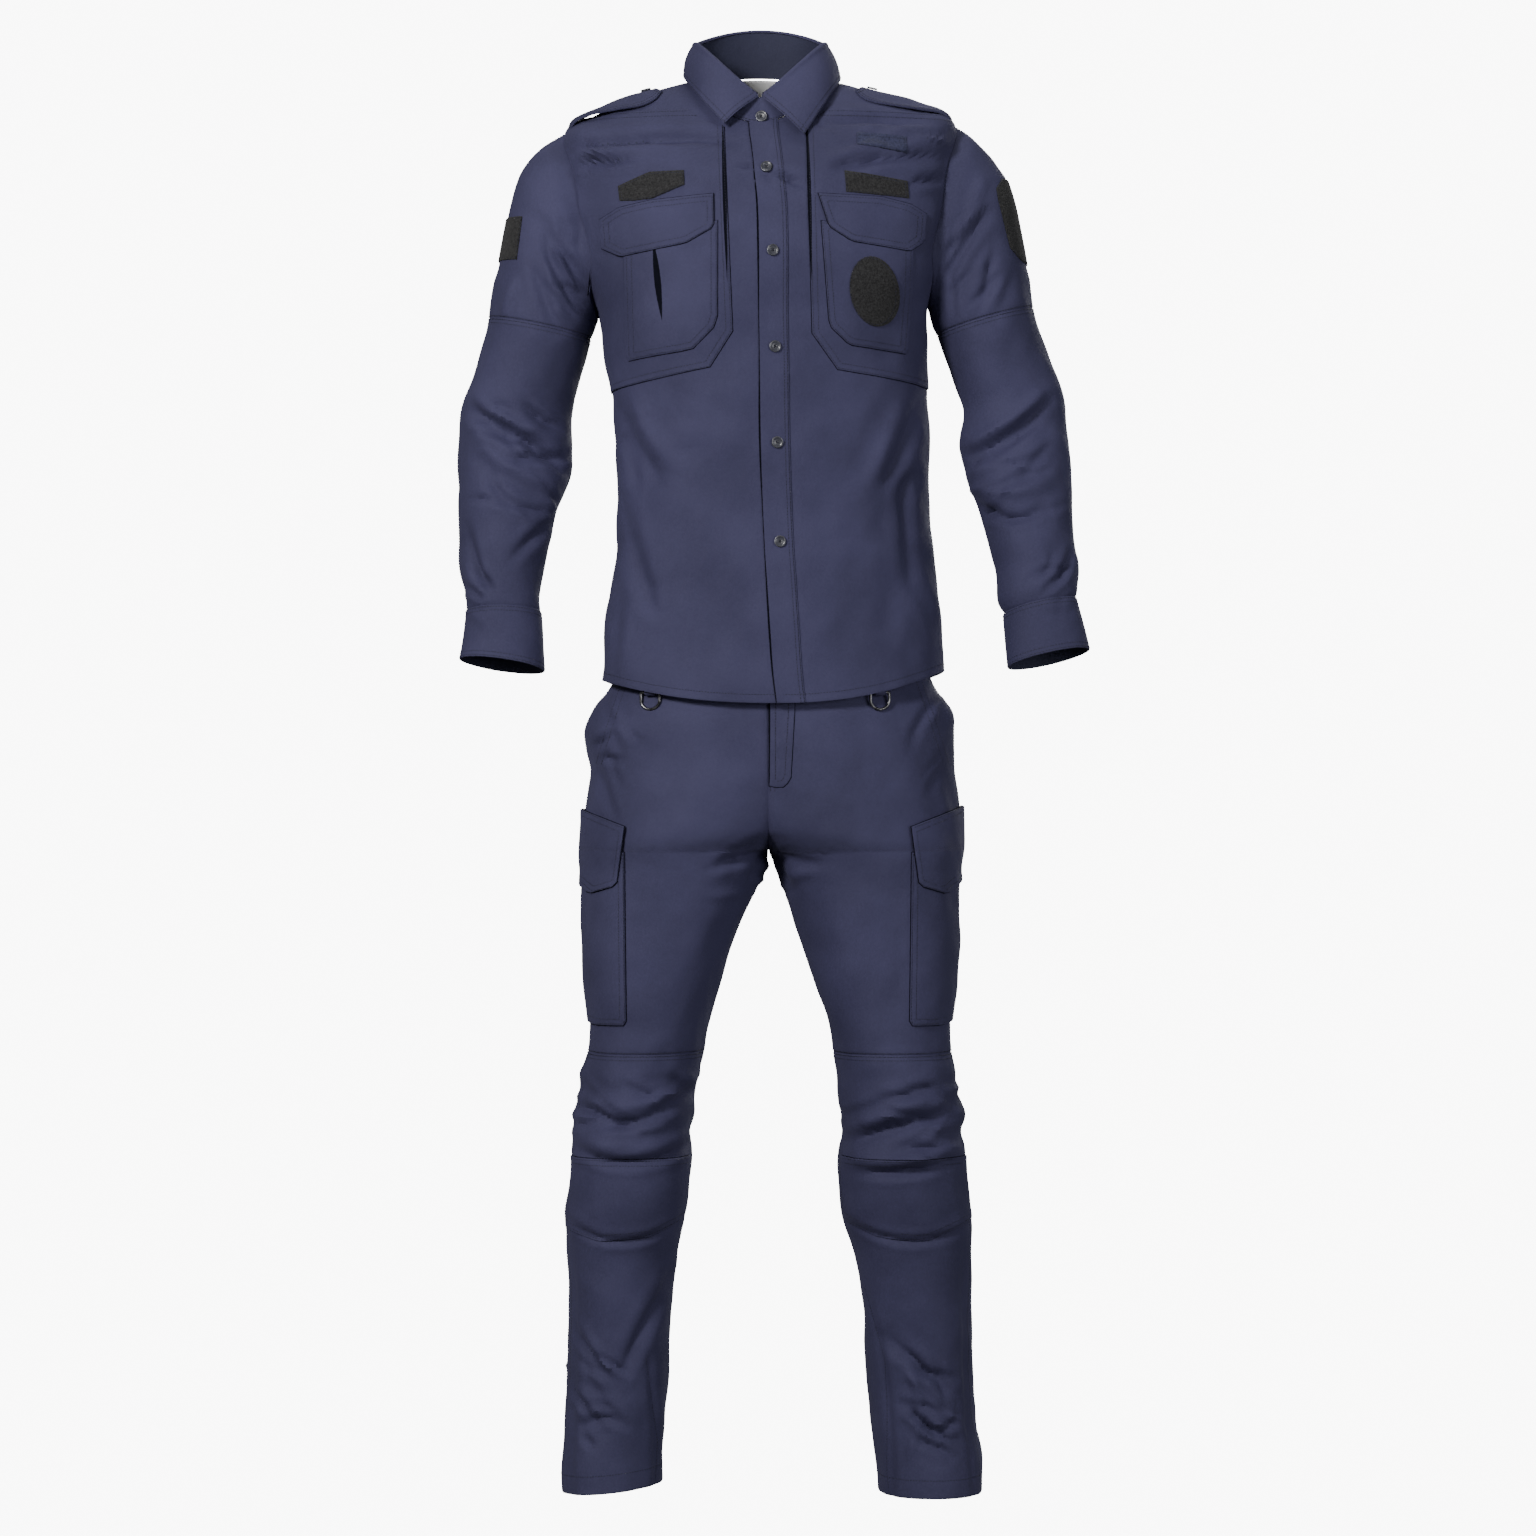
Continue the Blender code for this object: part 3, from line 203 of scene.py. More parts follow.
TORSO = Table(
    "centre half front back z_front z_right z_left z_back side_y fullness turn placket",
    [
        [5.5, 188, 122, 134, -665, -639, -629, -667, 0, 2.3, 90, 25],
        [6, 186, 120, 129, -630, -610, -604, -632, 0, 2.3, 90, 21],
        [6.6, 183, 118, 122, -586, -574, -572, -588, 0, 2.3, 90, 18],
        [7.1, 178.5, 116, 115, -541, -535, -535, -545, 0, 2.3, 90, 15],
        [7.7, 174, 115, 110, -495, -493, -493, -497, 0, 2.3, 90, 12],
        [6, 172, 115, 107, -451, -451, -451, -451, 0, 2.3, 90, 10],
        [4.4, 171.6, 117, 107, -407, -407, -407, -407, 0, 2.3, 90, 8.5],
        [1.6, 172, 120, 110, -363, -363, -362, -363, 0, 2.3, 90, 7.5],
        [-1.1, 173, 124, 114, -320, -320, -317, -320, 0, 2.3, 90, 7],
        [-4, 177, 127, 117, -282, -280, -272, -280, 0, 2.3, 90, 6.5],
        [-5.5, 179.4, 130, 119, -246, -239.6, -226.4, -242, 1, 2.3, 90, 6],
        [-7, 200, 131, 122, -206, -183, -175, -192, 2, 2.3, 66, 6],
        [-8, 211, 128, 124, -165, -125, -118, -148, 3, 2.3, 67, 5.8],
        [-8.5, 215, 121, 122, -127, -74, -67, -103, 4, 2.3, 71, 4.5],
        [-8.8, 212.4, 113, 117, -97, -33.8, -26.1, -64, 5, 2.25, 90, 1.5],
        [-9, 185, 106, 109, -80, -18, -12, -40, 5, 2.2, 90, 0],
        [-9.5, 152, 98, 98, -63, -3, 1, -17, 5, 2.15, 90, -2],
        [-10, 115, 89, 83, -49, 10, 11, 8, 5, 2.1, 90, -4],
        [-10.5, 76, 80, 64, -36, 20, 20, 32, 5, 2, 90, -5],
    ],
)
UNDERARM_ROW, SHOULDER_ROW, NECK_ROW = 10, 14, 18

# The large folds, which the solids have too: a straight ridge (+) or trough (-) each.
FOLDS = [
    # x0, z0, x1, z1, width, depth, face: -1 in front and 1 behind
    # right elbow, a deep crease with a roll of cloth on each side
    (-336, -331, -222, -402, 13, -5.5, -1), (-338, -352, -230, -424, 14, 4, -1),
    (-328, -322, -220, -378, 16, 3.5, -1), (-338, -482, -308, -540, 15, -4, -1),
    (-336, -340, -224, -380, 16, -4, 1),
    # left elbow
    (222, -402, 318, -340, 13, -5, -1), (224, -425, 322, -368, 15, 4, -1),
    (216, -375, 300, -322, 15, 3.5, -1), (226, -452, 268, -475, 13, -4, -1),
    (266, -475, 310, -455, 13, -4, -1), (224, -378, 330, -345, 16, -4, 1),
    # folds that run from the armpits into the sleeves and the chest
    (-270, -146, -198, -232, 13, -4, -1), (-282, -178, -228, -268, 14, -3.5, -1),
    (252, -150, 196, -222, 13, -4, -1), (262, -172, 226, -262, 14, -3.5, -1),
    # sides of the shirt's body
    (-158, -352, -122, -446, 16, -4, -1), (-150, -480, -128, -560, 18, -4, -1),
    (150, -400, 118, -500, 18, -4.5, -1), (158, -490, 122, -600, 18, -4, -1),
    (-150, -420, -60, -470, 20, -4, 1), (150, -430, 60, -485, 20, -4, 1),
    # gathers above the right knee patch
    (-206, -1100, -140, -1128, 14, -5, -1), (-196, -1136, -108, -1118, 13, 4, -1),
    (-210, -1146, -92, -1158, 12, 4, -1), (-205, -1120, -105, -1140, 15, -4, 1),
    # gathers above the left knee patch
    (96, -1140, 206, -1102, 14, -5, -1), (100, -1118, 150, -1080, 14, 4, -1),
    (92, -1156, 210, -1148, 12, 4, -1), (205, -1120, 105, -1142, 15, -4, 1),
    # breaks above the trouser hems
    (-214, -1360, -160, -1430, 16, -4, -1), (-205, -1462, -165, -1440, 15, -4, -1),
    (132, -1340, 205, -1410, 16, -4.5, -1), (150, -1440, 205, -1490, 15, -4, -1),
    (-210, -1400, -130, -1450, 18, -4, 1), (215, -1400, 135, -1455, 18, -4, 1),
]

# The main creases, each a bent line through three points: a trough (-) or a ridge (+).
CREASES_AHEAD = [
    # x0, z0, middle x, middle z, x1, z1, width, depth
    # the seams that show on the shins
    (-133, -1370, -126, -1440, -124, -1600, 4, -1), (106, -1304, 130, -1420, 134, -1600, 4, -1),
    (-213, -1250, -214, -1420, -216, -1600, 4, -0.8), (214, -1250, 219, -1420, 228, -1600, 4, -0.8),
    # right shoulder
    (-214, -59, -142, -53, -31, -57, 7, -4.8), (-210, -78, -181, -77, -135, -77, 6, -3.6),
    # left shoulder
    (58, -37, 124, -31, 193, -36, 7, -4), (150, -46, 172, -45, 194, -44, 5, -3),
    (70, -89, 103, -80, 194, -68, 7, -4.4), (151, -102, 169, -98, 189, -95, 5, -2.8),
    # beside the placket
    (-29, -85, -23, -85, -16, -85, 4, -2.2), (2, -94, 24, -101, 43, -111, 5, -3.4),
    (-5, -94, 2, -101, 11, -112, 4, -1.4),
    # left armpit and sleeve head
    (246, -120, 209, -172, 189, -204, 7, -3), (251, -153, 241, -194, 230, -223, 6, -2.4),
    (204, -147, 200, -161, 195, -175, 4, -1.6), (234, -89, 223, -122, 202, -160, 7, 2.2),
    (261, -176, 250, -214, 234, -243, 7, 2),
    # right armpit and sleeve head
    (-259, -126, -242, -161, -210, -218, 7, -3), (-263, -163, -247, -216, -226, -255, 7, -2.8),
    (-237, -157, -207, -192, -185, -229, 6, -2.4), (-274, -200, -283, -221, -291, -244, 6, 2.4),
    (-250, -143, -229, -181, -203, -221, 6, 1.8),
    # right elbow
    (-324, -339, -302, -361, -275, -379, 7, -3.4), (-306, -352, -262, -379, -218, -413, 6, -3.4),
    (-304, -413, -288, -439, -265, -452, 6, -2.8), (-229, -457, -257, -482, -281, -509, 6, -2.6),
    (-330, -470, -320, -515, -304, -538, 6, -2.8), (-315, -562, -303, -560, -290, -556, 4, -1.6),
    (-318, -329, -284, -354, -224, -381, 8, 2.6), (-311, -381, -284, -405, -241, -426, 8, 2.6),
    # left elbow
    (216, -392, 253, -377, 311, -329, 7, -3.4), (214, -405, 233, -398, 253, -392, 5, -2.4),
    (227, -441, 264, -462, 302, -446, 6, -3.2), (333, -496, 325, -514, 315, -531, 5, -2.6),
    (300, -549, 312, -551, 324, -552, 4, -1.6), (220, -379, 261, -359, 304, -318, 8, 2.6),
    (223, -422, 267, -435, 317, -405, 9, 2.8),
    # right side of the body
    (-166, -331, -148, -382, -113, -426, 9, -2.8), (-161, -373, -153, -402, -145, -432, 7, -2.2),
    (-158, -441, -137, -533, -117, -564, 9, -2.8), (-159, -549, -164, -590, -170, -630, 7, -2.2),
    (-147, -329, -122, -381, -84, -413, 10, 1.8),
    # left side of the body
    (166, -329, 138, -402, 127, -428, 9, -2.8), (159, -421, 148, -447, 159, -541, 8, -2.8),
    (142, -338, 121, -392, 106, -435, 10, 1.8),
    # hips and crotch
    (-191, -713, -181, -705, -170, -697, 5, -2), (-182, -723, -170, -725, -158, -727, 5, -2),
    (-186, -738, -177, -764, -167, -789, 6, -2.2), (1, -815, -12, -841, -25, -865, 7, -2.6),
    (-1, -815, 12, -841, 25, -865, 7, -2.6), (-3, -823, -32, -832, -60, -836, 8, -2.2),
    (3, -823, 32, -832, 60, -836, 8, -2.2),
    # right knee
    (-202, -1101, -150, -1116, -84, -1088, 7, -3.2), (-187, -1122, -160, -1121, -134, -1128, 6, -2.6),
    (-100, -1068, -91, -1079, -81, -1090, 6, -2.2), (-213, -1144, -154, -1161, -84, -1144, 6, -3),
    (-217, -1227, -160, -1247, -93, -1224, 5, -2.2), (-203, -1087, -149, -1097, -84, -1074, 8, 2.4),
    (-209, -1130, -149, -1143, -84, -1130, 8, 2.6),
    # left knee
    (84, -1141, 135, -1124, 212, -1100, 7, -3.2), (134, -1150, 170, -1144, 193, -1152, 6, -2.6),
    (104, -1171, 150, -1169, 206, -1160, 6, -2.6), (87, -1228, 155, -1247, 220, -1230, 5, -2.2),
    (86, -1125, 137, -1106, 207, -1084, 8, 2.4), (88, -1158, 148, -1156, 213, -1143, 8, 2.6),
    # right shin
    (-213, -1346, -190, -1380, -170, -1393, 7, -2.8), (-209, -1455, -183, -1442, -156, -1449, 6, -2.6),
    (-206, -1461, -197, -1468, -190, -1474, 5, -2), (-107, -1289, -140, -1350, -160, -1398, 8, -2.6),
    # left shin
    (127, -1352, 168, -1387, 209, -1418, 8, -2.8), (147, -1428, 161, -1438, 174, -1448, 6, -2.4),
    (160, -1464, 178, -1472, 196, -1477, 5, -2.2), (183, -1461, 196, -1451, 209, -1442, 5, -2),
]
CREASES_BEHIND = [
    # body
    (-150, -120, -70, -150, 0, -152, 11, -2.6), (150, -118, 70, -146, 5, -150, 11, -2.6),
    (-165, -300, -110, -345, -40, -360, 11, -2.8), (165, -290, 115, -330, 50, -350, 11, -2.8),
    (-160, -380, -100, -440, -30, -455, 12, -3), (158, -385, 105, -430, 40, -452, 12, -3),
    (-120, -520, -100, -570, -95, -620, 12, -2.4), (118, -500, 104, -560, 98, -625, 12, -2.4),
    # backs of the sleeves
    (-325, -330, -280, -352, -225, -366, 8, -3), (-330, -360, -285, -378, -228, -392, 8, -2.8),
    (-250, -150, -228, -190, -205, -235, 8, -2.6), (325, -322, 280, -346, 224, -362, 8, -3),
    (328, -352, 285, -372, 228, -388, 8, -2.8), (240, -145, 222, -186, 200, -226, 8, -2.6),
    # seat and backs of the legs
    (-20, -800, -70, -835, -140, -842, 11, -3.2), (22, -800, 72, -835, 142, -842, 11, -3.2),
    (-30, -850, -80, -880, -150, -880, 10, -2.6), (32, -850, 82, -880, 150, -880, 10, -2.6),
    (-200, -1080, -140, -1104, -85, -1098, 9, -3), (-205, -1122, -150, -1142, -92, -1132, 9, -3),
    (200, -1084, 142, -1108, 84, -1100, 9, -3), (206, -1126, 150, -1146, 90, -1136, 9, -3),
    (-208, -1350, -165, -1392, -120, -1404, 10, -2.6), (210, -1352, 168, -1396, 122, -1410, 10, -2.6),
    (-205, -1440, -170, -1462, -130, -1458, 8, -2.2), (212, -1446, 172, -1466, 132, -1460, 8, -2.2),
]
CREASES = [(*crease, FRONT) for crease in CREASES_AHEAD]
CREASES += [(*crease, BACK) for crease in CREASES_BEHIND]

# Where the cloth is rumpled: smaller creases that spread round a joint or a hem, each one a
# little different in slant, length and depth.
RUMPLED = [
    # x, z, half width, half height, slant in degrees, count, depth, face
    (-150, -1112, 62, 40, -6, 15, 1.5, FRONT), (148, -1118, 62, 40, 8, 15, 1.5, FRONT),
    (-185, -1415, 24, 52, -38, 14, 1.7, FRONT), (180, -1425, 34, 46, -34, 14, 1.7, FRONT),
    (-270, -400, 46, 70, -24, 14, 1.5, FRONT), (268, -400, 46, 70, 24, 14, 1.5, FRONT),
    (-312, -545, 22, 34, -50, 7, 1.3, FRONT), (312, -545, 22, 34, 50, 7, 1.3, FRONT),
    (-225, -185, 34, 56, -48, 10, 1.4, FRONT), (222, -175, 34, 56, 48, 10, 1.4, FRONT),
    (-150, -62, 60, 24, 6, 7, 1, FRONT), (120, -66, 74, 28, 8, 9, 1.1, FRONT),
    (0, -845, 56, 30, 0, 12, 1.4, FRONT), (-170, -705, 24, 50, -60, 6, 1.1, FRONT),
    (172, -705, 24, 50, 60, 6, 1.1, FRONT), (-140, -1110, 62, 50, 4, 16, 1.6, BACK),
    (140, -1112, 62, 50, -4, 16, 1.6, BACK), (-280, -380, 44, 56, -20, 12, 1.5, BACK),
    (280, -376, 44, 56, 20, 12, 1.5, BACK), (-185, -1425, 40, 50, -30, 10, 1.4, BACK),
    (185, -1430, 40, 50, 30, 10, 1.4, BACK), (0, -845, 90, 30, 0, 14, 1.5, BACK),
    (0, -420, 120, 90, 0, 14, 1.2, BACK),
]
DICE = np.random.default_rng(31)
for x, z, wide, tall, slant, count, depth, face in RUMPLED:
    for _ in range(count):
        turn = math.radians(slant + DICE.normal() * 20)
        reach, bow = DICE.uniform(14, 34), DICE.normal() * 3.5
        mx, mz = x + wide * DICE.uniform(-0.8, 0.8), z + tall * DICE.uniform(-0.9, 0.9)
        dx, dz = math.cos(turn) * reach, math.sin(turn) * reach
        deep = -depth * DICE.uniform(0.6, 1.3) * (1 if DICE.random() < 0.72 else -0.8)
        middle = mx - bow * dz / reach, mz + bow * dx / reach
        ends = (mx - dx, mz - dz), (mx + dx, mz + dz)
        CREASES.append((*ends[0], *middle, *ends[1], DICE.uniform(3.6, 6.0), deep, face))

# Where the cloth stands off on its own: over the filled pockets and the sprung knee patches.
PUFFS = [
    # x, z, half width, half height, height, face
    (-102, -235, 48, 58, 3.2, FRONT), (104, -225, 50, 60, 3, FRONT), (-110, -150, 58, 24, 1.8, FRONT),
    (112, -146, 58, 24, 1.8, FRONT), (-182, -930, 42, 82, 5.5, FRONT), (186, -930, 42, 82, 5.5, FRONT),
    (-150, -1205, 62, 34, 3, FRONT), (150, -1205, 62, 34, 3, FRONT),
]
NOISE = np.random.default_rng(62)
WAVES = ((230, 1.1), (150, 0.8), (105, 0.7), (80, 0.5), (58, 0.42), (44, 0.3), (33, 0.22))
RIPPLES = [
    (NOISE.normal(size=3) / np.array([1.0, 1.0, 1.6]), NOISE.uniform(0, math.tau), wave, height)
    for wave, height in WAVES
    for _ in range(3)
]
FADE = 12  # how far inside the side of the body or a limb the folds of its front or back fade out
BENT_PARTS = 8
PATCH_X, PATCH_Z, PATCH_HALF = 238, -135, 62  # where the loop patches hold the sleeves smooth


def ripple(points):
    """The uneven surface that hung cloth has everywhere, a millimetre or two high."""
    height = np.zeros(points.shape[:-1])
    warp = np.zeros(points.shape[:-1])
    for direction, phase, wave, tall in RIPPLES:
        turn = points @ (direction / np.linalg.norm(direction)) * (math.tau / wave) + phase + warp
        height += tall * 0.7 * np.sin(turn)
        warp = 0.9 * np.sin(turn * 0.37 + phase)
    return height


def crease_height(x, z, x0, z0, xm, zm, x1, z1, width, depth):
    """The height of one crease near its line: a sharp trough or ridge with a soft roll beside it."""
    t = np.linspace(0, 1, BENT_PARTS + 1)

    def bent(start, middle, end):
        handle = 2 * middle - (start + end) / 2
        return (1 - t) ** 2 * start + 2 * t * (1 - t) * handle + t**2 * end

    lx, lz = bent(x0, xm, x1), bent(z0, zm, z1)
    best = np.full(x.shape, 1e9)
    side, along = np.zeros(x.shape), np.zeros(x.shape)
    for i in range(BENT_PARTS):
        run, rise = lx[i + 1] - lx[i], lz[i + 1] - lz[i]
        share = np.clip(((x - lx[i]) * run + (z - lz[i]) * rise) / (run**2 + rise**2), 0, 1)
        dx, dz = x - lx[i] - share * run, z - lz[i] - share * rise
        gap = np.hypot(dx, dz)
        new = gap < best
        best = np.where(new, gap, best)
        side = np.where(new, dz - 0.5 * dx, side)
        along = np.where(new, (i + share) / BENT_PARTS, along)
    taper = np.sin(np.pi * np.clip(along, 0.02, 0.98)) ** 0.6
    # the cloth above a crease hangs over it, so that side is the steep one
    sharp = np.where(side > 0, 0.50, 1.10) * width
    line = 1.8 * depth * np.exp(-((best / sharp) ** 2))
    rolls = 0.65 * depth * np.exp(-(((best - 1.7 * width) / (0.85 * width)) ** 2))
    return (line - rolls) * taper


def relief(points, middle_y):
    """How far the folds, creases and puffs move a point of the shirt or the trousers out."""
    x, z = points[..., 0], points[..., 2]
    height = ripple(points)
    facing = {face: np.clip((points[..., 1] - middle_y) * face / FADE, 0, 1) for face in (FRONT, BACK)}
    for x0, z0, x1, z1, width, depth, face in FOLDS:
        run, rise = x1 - x0, z1 - z0
        length = math.hypot(run, rise)
        share = ((x - x0) * run + (z - z0) * rise) / length**2
        aside = ((x - x0) * rise - (z - z0) * run) / length
        taper = np.sin(np.pi * np.clip(share, 0, 1)) ** 0.5
        height += depth * taper * facing[face] * np.exp(-((aside / width) ** 2))
    for *line, width, depth, face in CREASES:
        xs, zs, reach = line[::2], line[1::2], 3.5 * width
        near = (x > min(xs) - reach) & (x < max(xs) + reach)
        near &= (z > min(zs) - reach) & (z < max(zs) + reach)
        if near.any():
            height[near] += crease_height(x[near], z[near], *line, width, depth) * facing[face][near]
    for cx, cz, wide, tall, rise, face in PUFFS:
        away = np.clip(1 - ((x - cx) / wide) ** 2, 0, 1) * np.clip(1 - ((z - cz) / tall) ** 2, 0, 1)
        height += rise * away**0.7 * facing[face]
    on_arm = np.clip((np.abs(x) - PATCH_X) / 14, 0, 1)
    smooth = on_arm * np.clip((PATCH_HALF - np.abs(z - PATCH_Z)) / 12, 0, 1)
    return height * (1 - 0.85 * smooth)


def power(value, fullness):
    return np.sign(value) * np.abs(value) ** (2 / fullness)


def torso(row, angle):
    """A point of the shirt's body: angle is 0 at the front, 90 at the left side, 180 at the back."""
    cut = TORSO.at(row)
    turn = np.radians(angle)
    across, ahead = np.sin(turn), np.cos(turn)
    depth = np.where(ahead > 0, cut["front"] + cut["side_y"], cut["back"] - cut["side_y"])
    side_z = np.where(across < 0, cut["z_right"], cut["z_left"])
    end_z = np.where(ahead > 0, cut["z_front"], cut["z_back"])
    x = cut["centre"] + cut["half"] * power(across, cut["fullness"])
    y = cut["side_y"] - depth * power(ahead, cut["fullness"])
    return np.stack([x, y, end_z * ahead**2 + side_z * across**2], axis=-1)


def armhole_turn(row, turn):
    """How far round the panel reaches, held at the side seam below and above the armhole."""
    inside = (row > UNDERARM_ROW) & (row < SHOULDER_ROW)
    return np.where(inside, np.minimum(turn, 90), 90.0)


def unit(vectors):
    """The same vectors, each made 1 long."""
    return vectors / np.maximum(np.linalg.norm(vectors, axis=-1, keepdims=True), 1e-9)


def normals_of(surface, row, turn, outward, row_step=0.02, turn_step=0.5):
    """Unit normals of a surface function, pointing the same way as outward(points)."""
    along = surface(row + row_step, turn) - surface(row - row_step, turn)
    around = surface(row, turn + turn_step) - surface(row, turn - turn_step)
    normal = unit(np.cross(around, along))
    return normal * np.sign((normal * outward(surface(row, turn))).sum(-1, keepdims=True))


RIMS, RIM = np.array([0, 1.3, 2.8, 5.0]), 8


def run_along(points):
    """How far each point of a line is from its start."""
    return np.append(0, np.cumsum(np.linalg.norm(np.diff(points, axis=0), axis=1)))


def paced(surface, turn, end, step, start=0.0):
    """Rows about step mm apart along one turn of a surface, with closer ones next to both ends."""
    fine = np.linspace(start, end, 500)
    run = run_along(surface(fine, np.full_like(fine, turn)))
    middle = np.linspace(RIM, run[-1] - RIM, max(2, round((run[-1] - 2 * RIM) / step)) + 1)
    return np.interp(np.concatenate([RIMS, middle, run[-1] - RIMS[::-1]]), run, fine)


def spread(width, step):
    """Shares across a piece of about that width, closer together next to its two edges."""
    middle = np.linspace(RIM, width - RIM, round((width - 2 * RIM) / step) + 1)
    return np.concatenate([RIMS, middle, width - RIMS[::-1]]) / width


class Sheet:
    """One face of cloth: a grid of points, the way out at each, and its place on the flat cut."""

    def __init__(self, points, normals, flat=None):
        self.points, self.normals = points, normals
        if flat is None:
            wide = np.linalg.norm(np.diff(points, axis=1), axis=-1)
            tall = np.linalg.norm(np.diff(points, axis=0), axis=-1).mean(1)
            u = np.concatenate([np.zeros((len(points), 1)), np.cumsum(wide, 1)], 1)
            u -= u[:, u.shape[1] // 2][:, None]
            v = np.append(0, np.cumsum(tall))[:, None] + np.zeros_like(u)
            flat = np.stack([u, v, np.zeros_like(u)], -1)
        self.flat = flat

    def part(self, rows=slice(None), columns=slice(None)):
        return Sheet(self.points[rows, columns], self.normals[rows, columns], self.flat[rows, columns])

    def joined(self, other):
        """This sheet and the one beside it, whose first column repeats this one's last."""
        shift = self.flat[:, -1:] - other.flat[:, :1]
        return Sheet(
            np.concatenate([self.points, other.points[:, 1:]], 1),
            np.concatenate([self.normals, other.normals[:, 1:]], 1),
            np.concatenate([self.flat, (other.flat + shift)[:, 1:]], 1),
        )

    def moved(self, height):
        return Sheet(self.points + self.normals * height[..., None], self.normals, self.flat)

    def ditched(self, edges, depth):
        """The sheet with the named edges drawn in, the way a seam pulls the cloth down."""
        height = np.zeros(self.points.shape[:2])
        for edge in edges:
            height = np.minimum(height, -depth * np.exp(-((self.run_in(edge) / 3.0) ** 2)))
        return self.moved(height)

    def run_in(self, edge):
        """How far each point lies from an edge, measured along the cloth."""
        axis = 1 if "column" in edge else 0
        gaps = np.linalg.norm(np.diff(self.points, axis=axis), axis=-1)
        if "last" in edge:
            gaps = np.flip(gaps, axis)
        zero = np.zeros_like(np.take(self.points[..., 0], [0], axis))
        run = np.concatenate([zero, np.cumsum(gaps, axis)], axis)
        return np.flip(run, axis) if "last" in edge else run

    def trimmed(self, amount, edges):
        """The same sheet with the named edges drawn back by amount mm, or run past them."""
        points = self.points.copy()
        for edge in edges:
            here, near = {
                "first_column": (np.s_[:, 0], np.s_[:, 1]),
                "last_column": (np.s_[:, -1], np.s_[:, -2]),
                "first_row": (np.s_[0], np.s_[1]),
                "last_row": (np.s_[-1], np.s_[-2]),
            }[edge]
            gap = points[near] - points[here]
            length = np.maximum(np.linalg.norm(gap, axis=-1, keepdims=True), 1e-6)
            points[here] += gap * np.clip(amount / length, -0.8, 0.8)
        return Sheet(points, self.normals, self.flat)

    def surface(self):
        """The sheet as an open mesh whose points remember their way out and their flat place."""
        made = bmesh.new()
        out, flat = (made.verts.layers.float_vector.new(n) for n in ("out", "flat"))
        rows, columns = self.points.shape[:2]
        made_of = zip(self.points.reshape(-1, 3), self.normals.reshape(-1, 3), self.flat.reshape(-1, 3))
        for point, normal, place in made_of:
            vert = made.verts.new(point)
            vert[out], vert[flat] = Vector(normal), Vector(place)
        made.verts.ensure_lookup_table()
        for r in range(rows - 1):
            for c in range(columns - 1):
                a, b = r * columns + c, (r + 1) * columns + c
                made.faces.new([made.verts[i] for i in (a, a + 1, b + 1, b)])
        return made

    def edge_line(self, edge, inset):
        """The points of a line that runs inset mm inside one edge, with the way out at each."""
        run = self.run_in(edge)
        axis = 1 if "column" in edge else 0
        points, normals = self.points, self.normals
        if axis == 0:
            run, points, normals = run.T, points.swapaxes(0, 1), normals.swapaxes(0, 1)
        line = []
        for distance, place, way in zip(run, points, normals):
            if distance[0] > distance[-1]:
                distance, place, way = distance[::-1], place[::-1], way[::-1]
            line.append([np.interp(inset, distance, part[:, i]) for part in (place, way) for i in range(3)])
        line = np.array(line)
        return line[:, :3], line[:, 3:]


def linked(name, data):
    """A new object in the scene, with that data."""
    made = bpy.data.objects.new(name, data)
    bpy.context.scene.collection.objects.link(made)
    return made


def thickened(name, surface, low, high, look):
    """A closed cloth wall from an open mesh, with its folded edges slightly rounded."""
    out, flat = (surface.verts.layers.float_vector[n] for n in ("out", "flat"))
    surface.verts.index_update()
    made = bmesh.new()
    cut = made.loops.layers.uv.new("cut")
    levels, places = {}, [v[flat].xy * MM for v in surface.verts]
    for height, drop in ((low, 0), (high, min(0.45, (high - low) / 3))):
        raised = [v.co + v[out] * (height - drop * v.is_boundary) for v in surface.verts]
        levels[height] = [made.verts.new(point * MM) for point in raised]

    def face(corners, ring, index):
        new = made.faces.new(corners)
        new.smooth = True
        new.material_index = index
        for loop, i in zip(new.loops, ring):
            loop[cut].uv = places[i]

    for old in surface.faces:
        ring = [v.index for v in old.verts]
        face([levels[high][i] for i in ring], ring, 0)
        face([levels[low][i] for i in reversed(ring)], ring[::-1], 1)
    for edge in surface.edges:
        if len(edge.link_faces) == 1:
            a, b = (v.index for v in edge.verts)
            face([levels[low][a], levels[low][b], levels[high][b], levels[high][a]], [a, b, b, a], 0)
    surface.free()
    bmesh.ops.recalc_face_normals(made, faces=made.faces)
    mesh = bpy.data.meshes.new(name)
    made.to_mesh(mesh)
    made.free()
    mesh.materials.append(look)
    # the inside faces of navy cloth take the darker copy of the twill: painted shade
    mesh.materials.append(navy_shade if look is navy else look)
    mesh.set_sharp_from_angle(angle=math.radians(50))
    return linked(name, mesh)


def worn(node, piece):
    """Hides a piece of cloth's CAD node and hangs the piece on the garment in its place."""
    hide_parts(node)
    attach(piece, "garment")


def body_sheet(rows, angles):
    """A sheet of the shirt's body, with its relief; angles is one row of angles for each row."""
    normals = normals_of(torso, rows[:, None], angles, lambda p: p * [1, 1, 0.3] - [0, 0, -80])
    plain = Sheet(torso(rows[:, None], angles), normals)
    return plain, relief(plain.points, 0)


def angle_at(cut, x):
    """The angle at which the front of the body reaches x."""
    share = (x - cut["centre"]) / cut["half"]
    reach = np.sign(share) * np.abs(share) ** (cut["fullness"] / 2)
    return np.degrees(np.arcsin(np.clip(reach, -1, 1)))


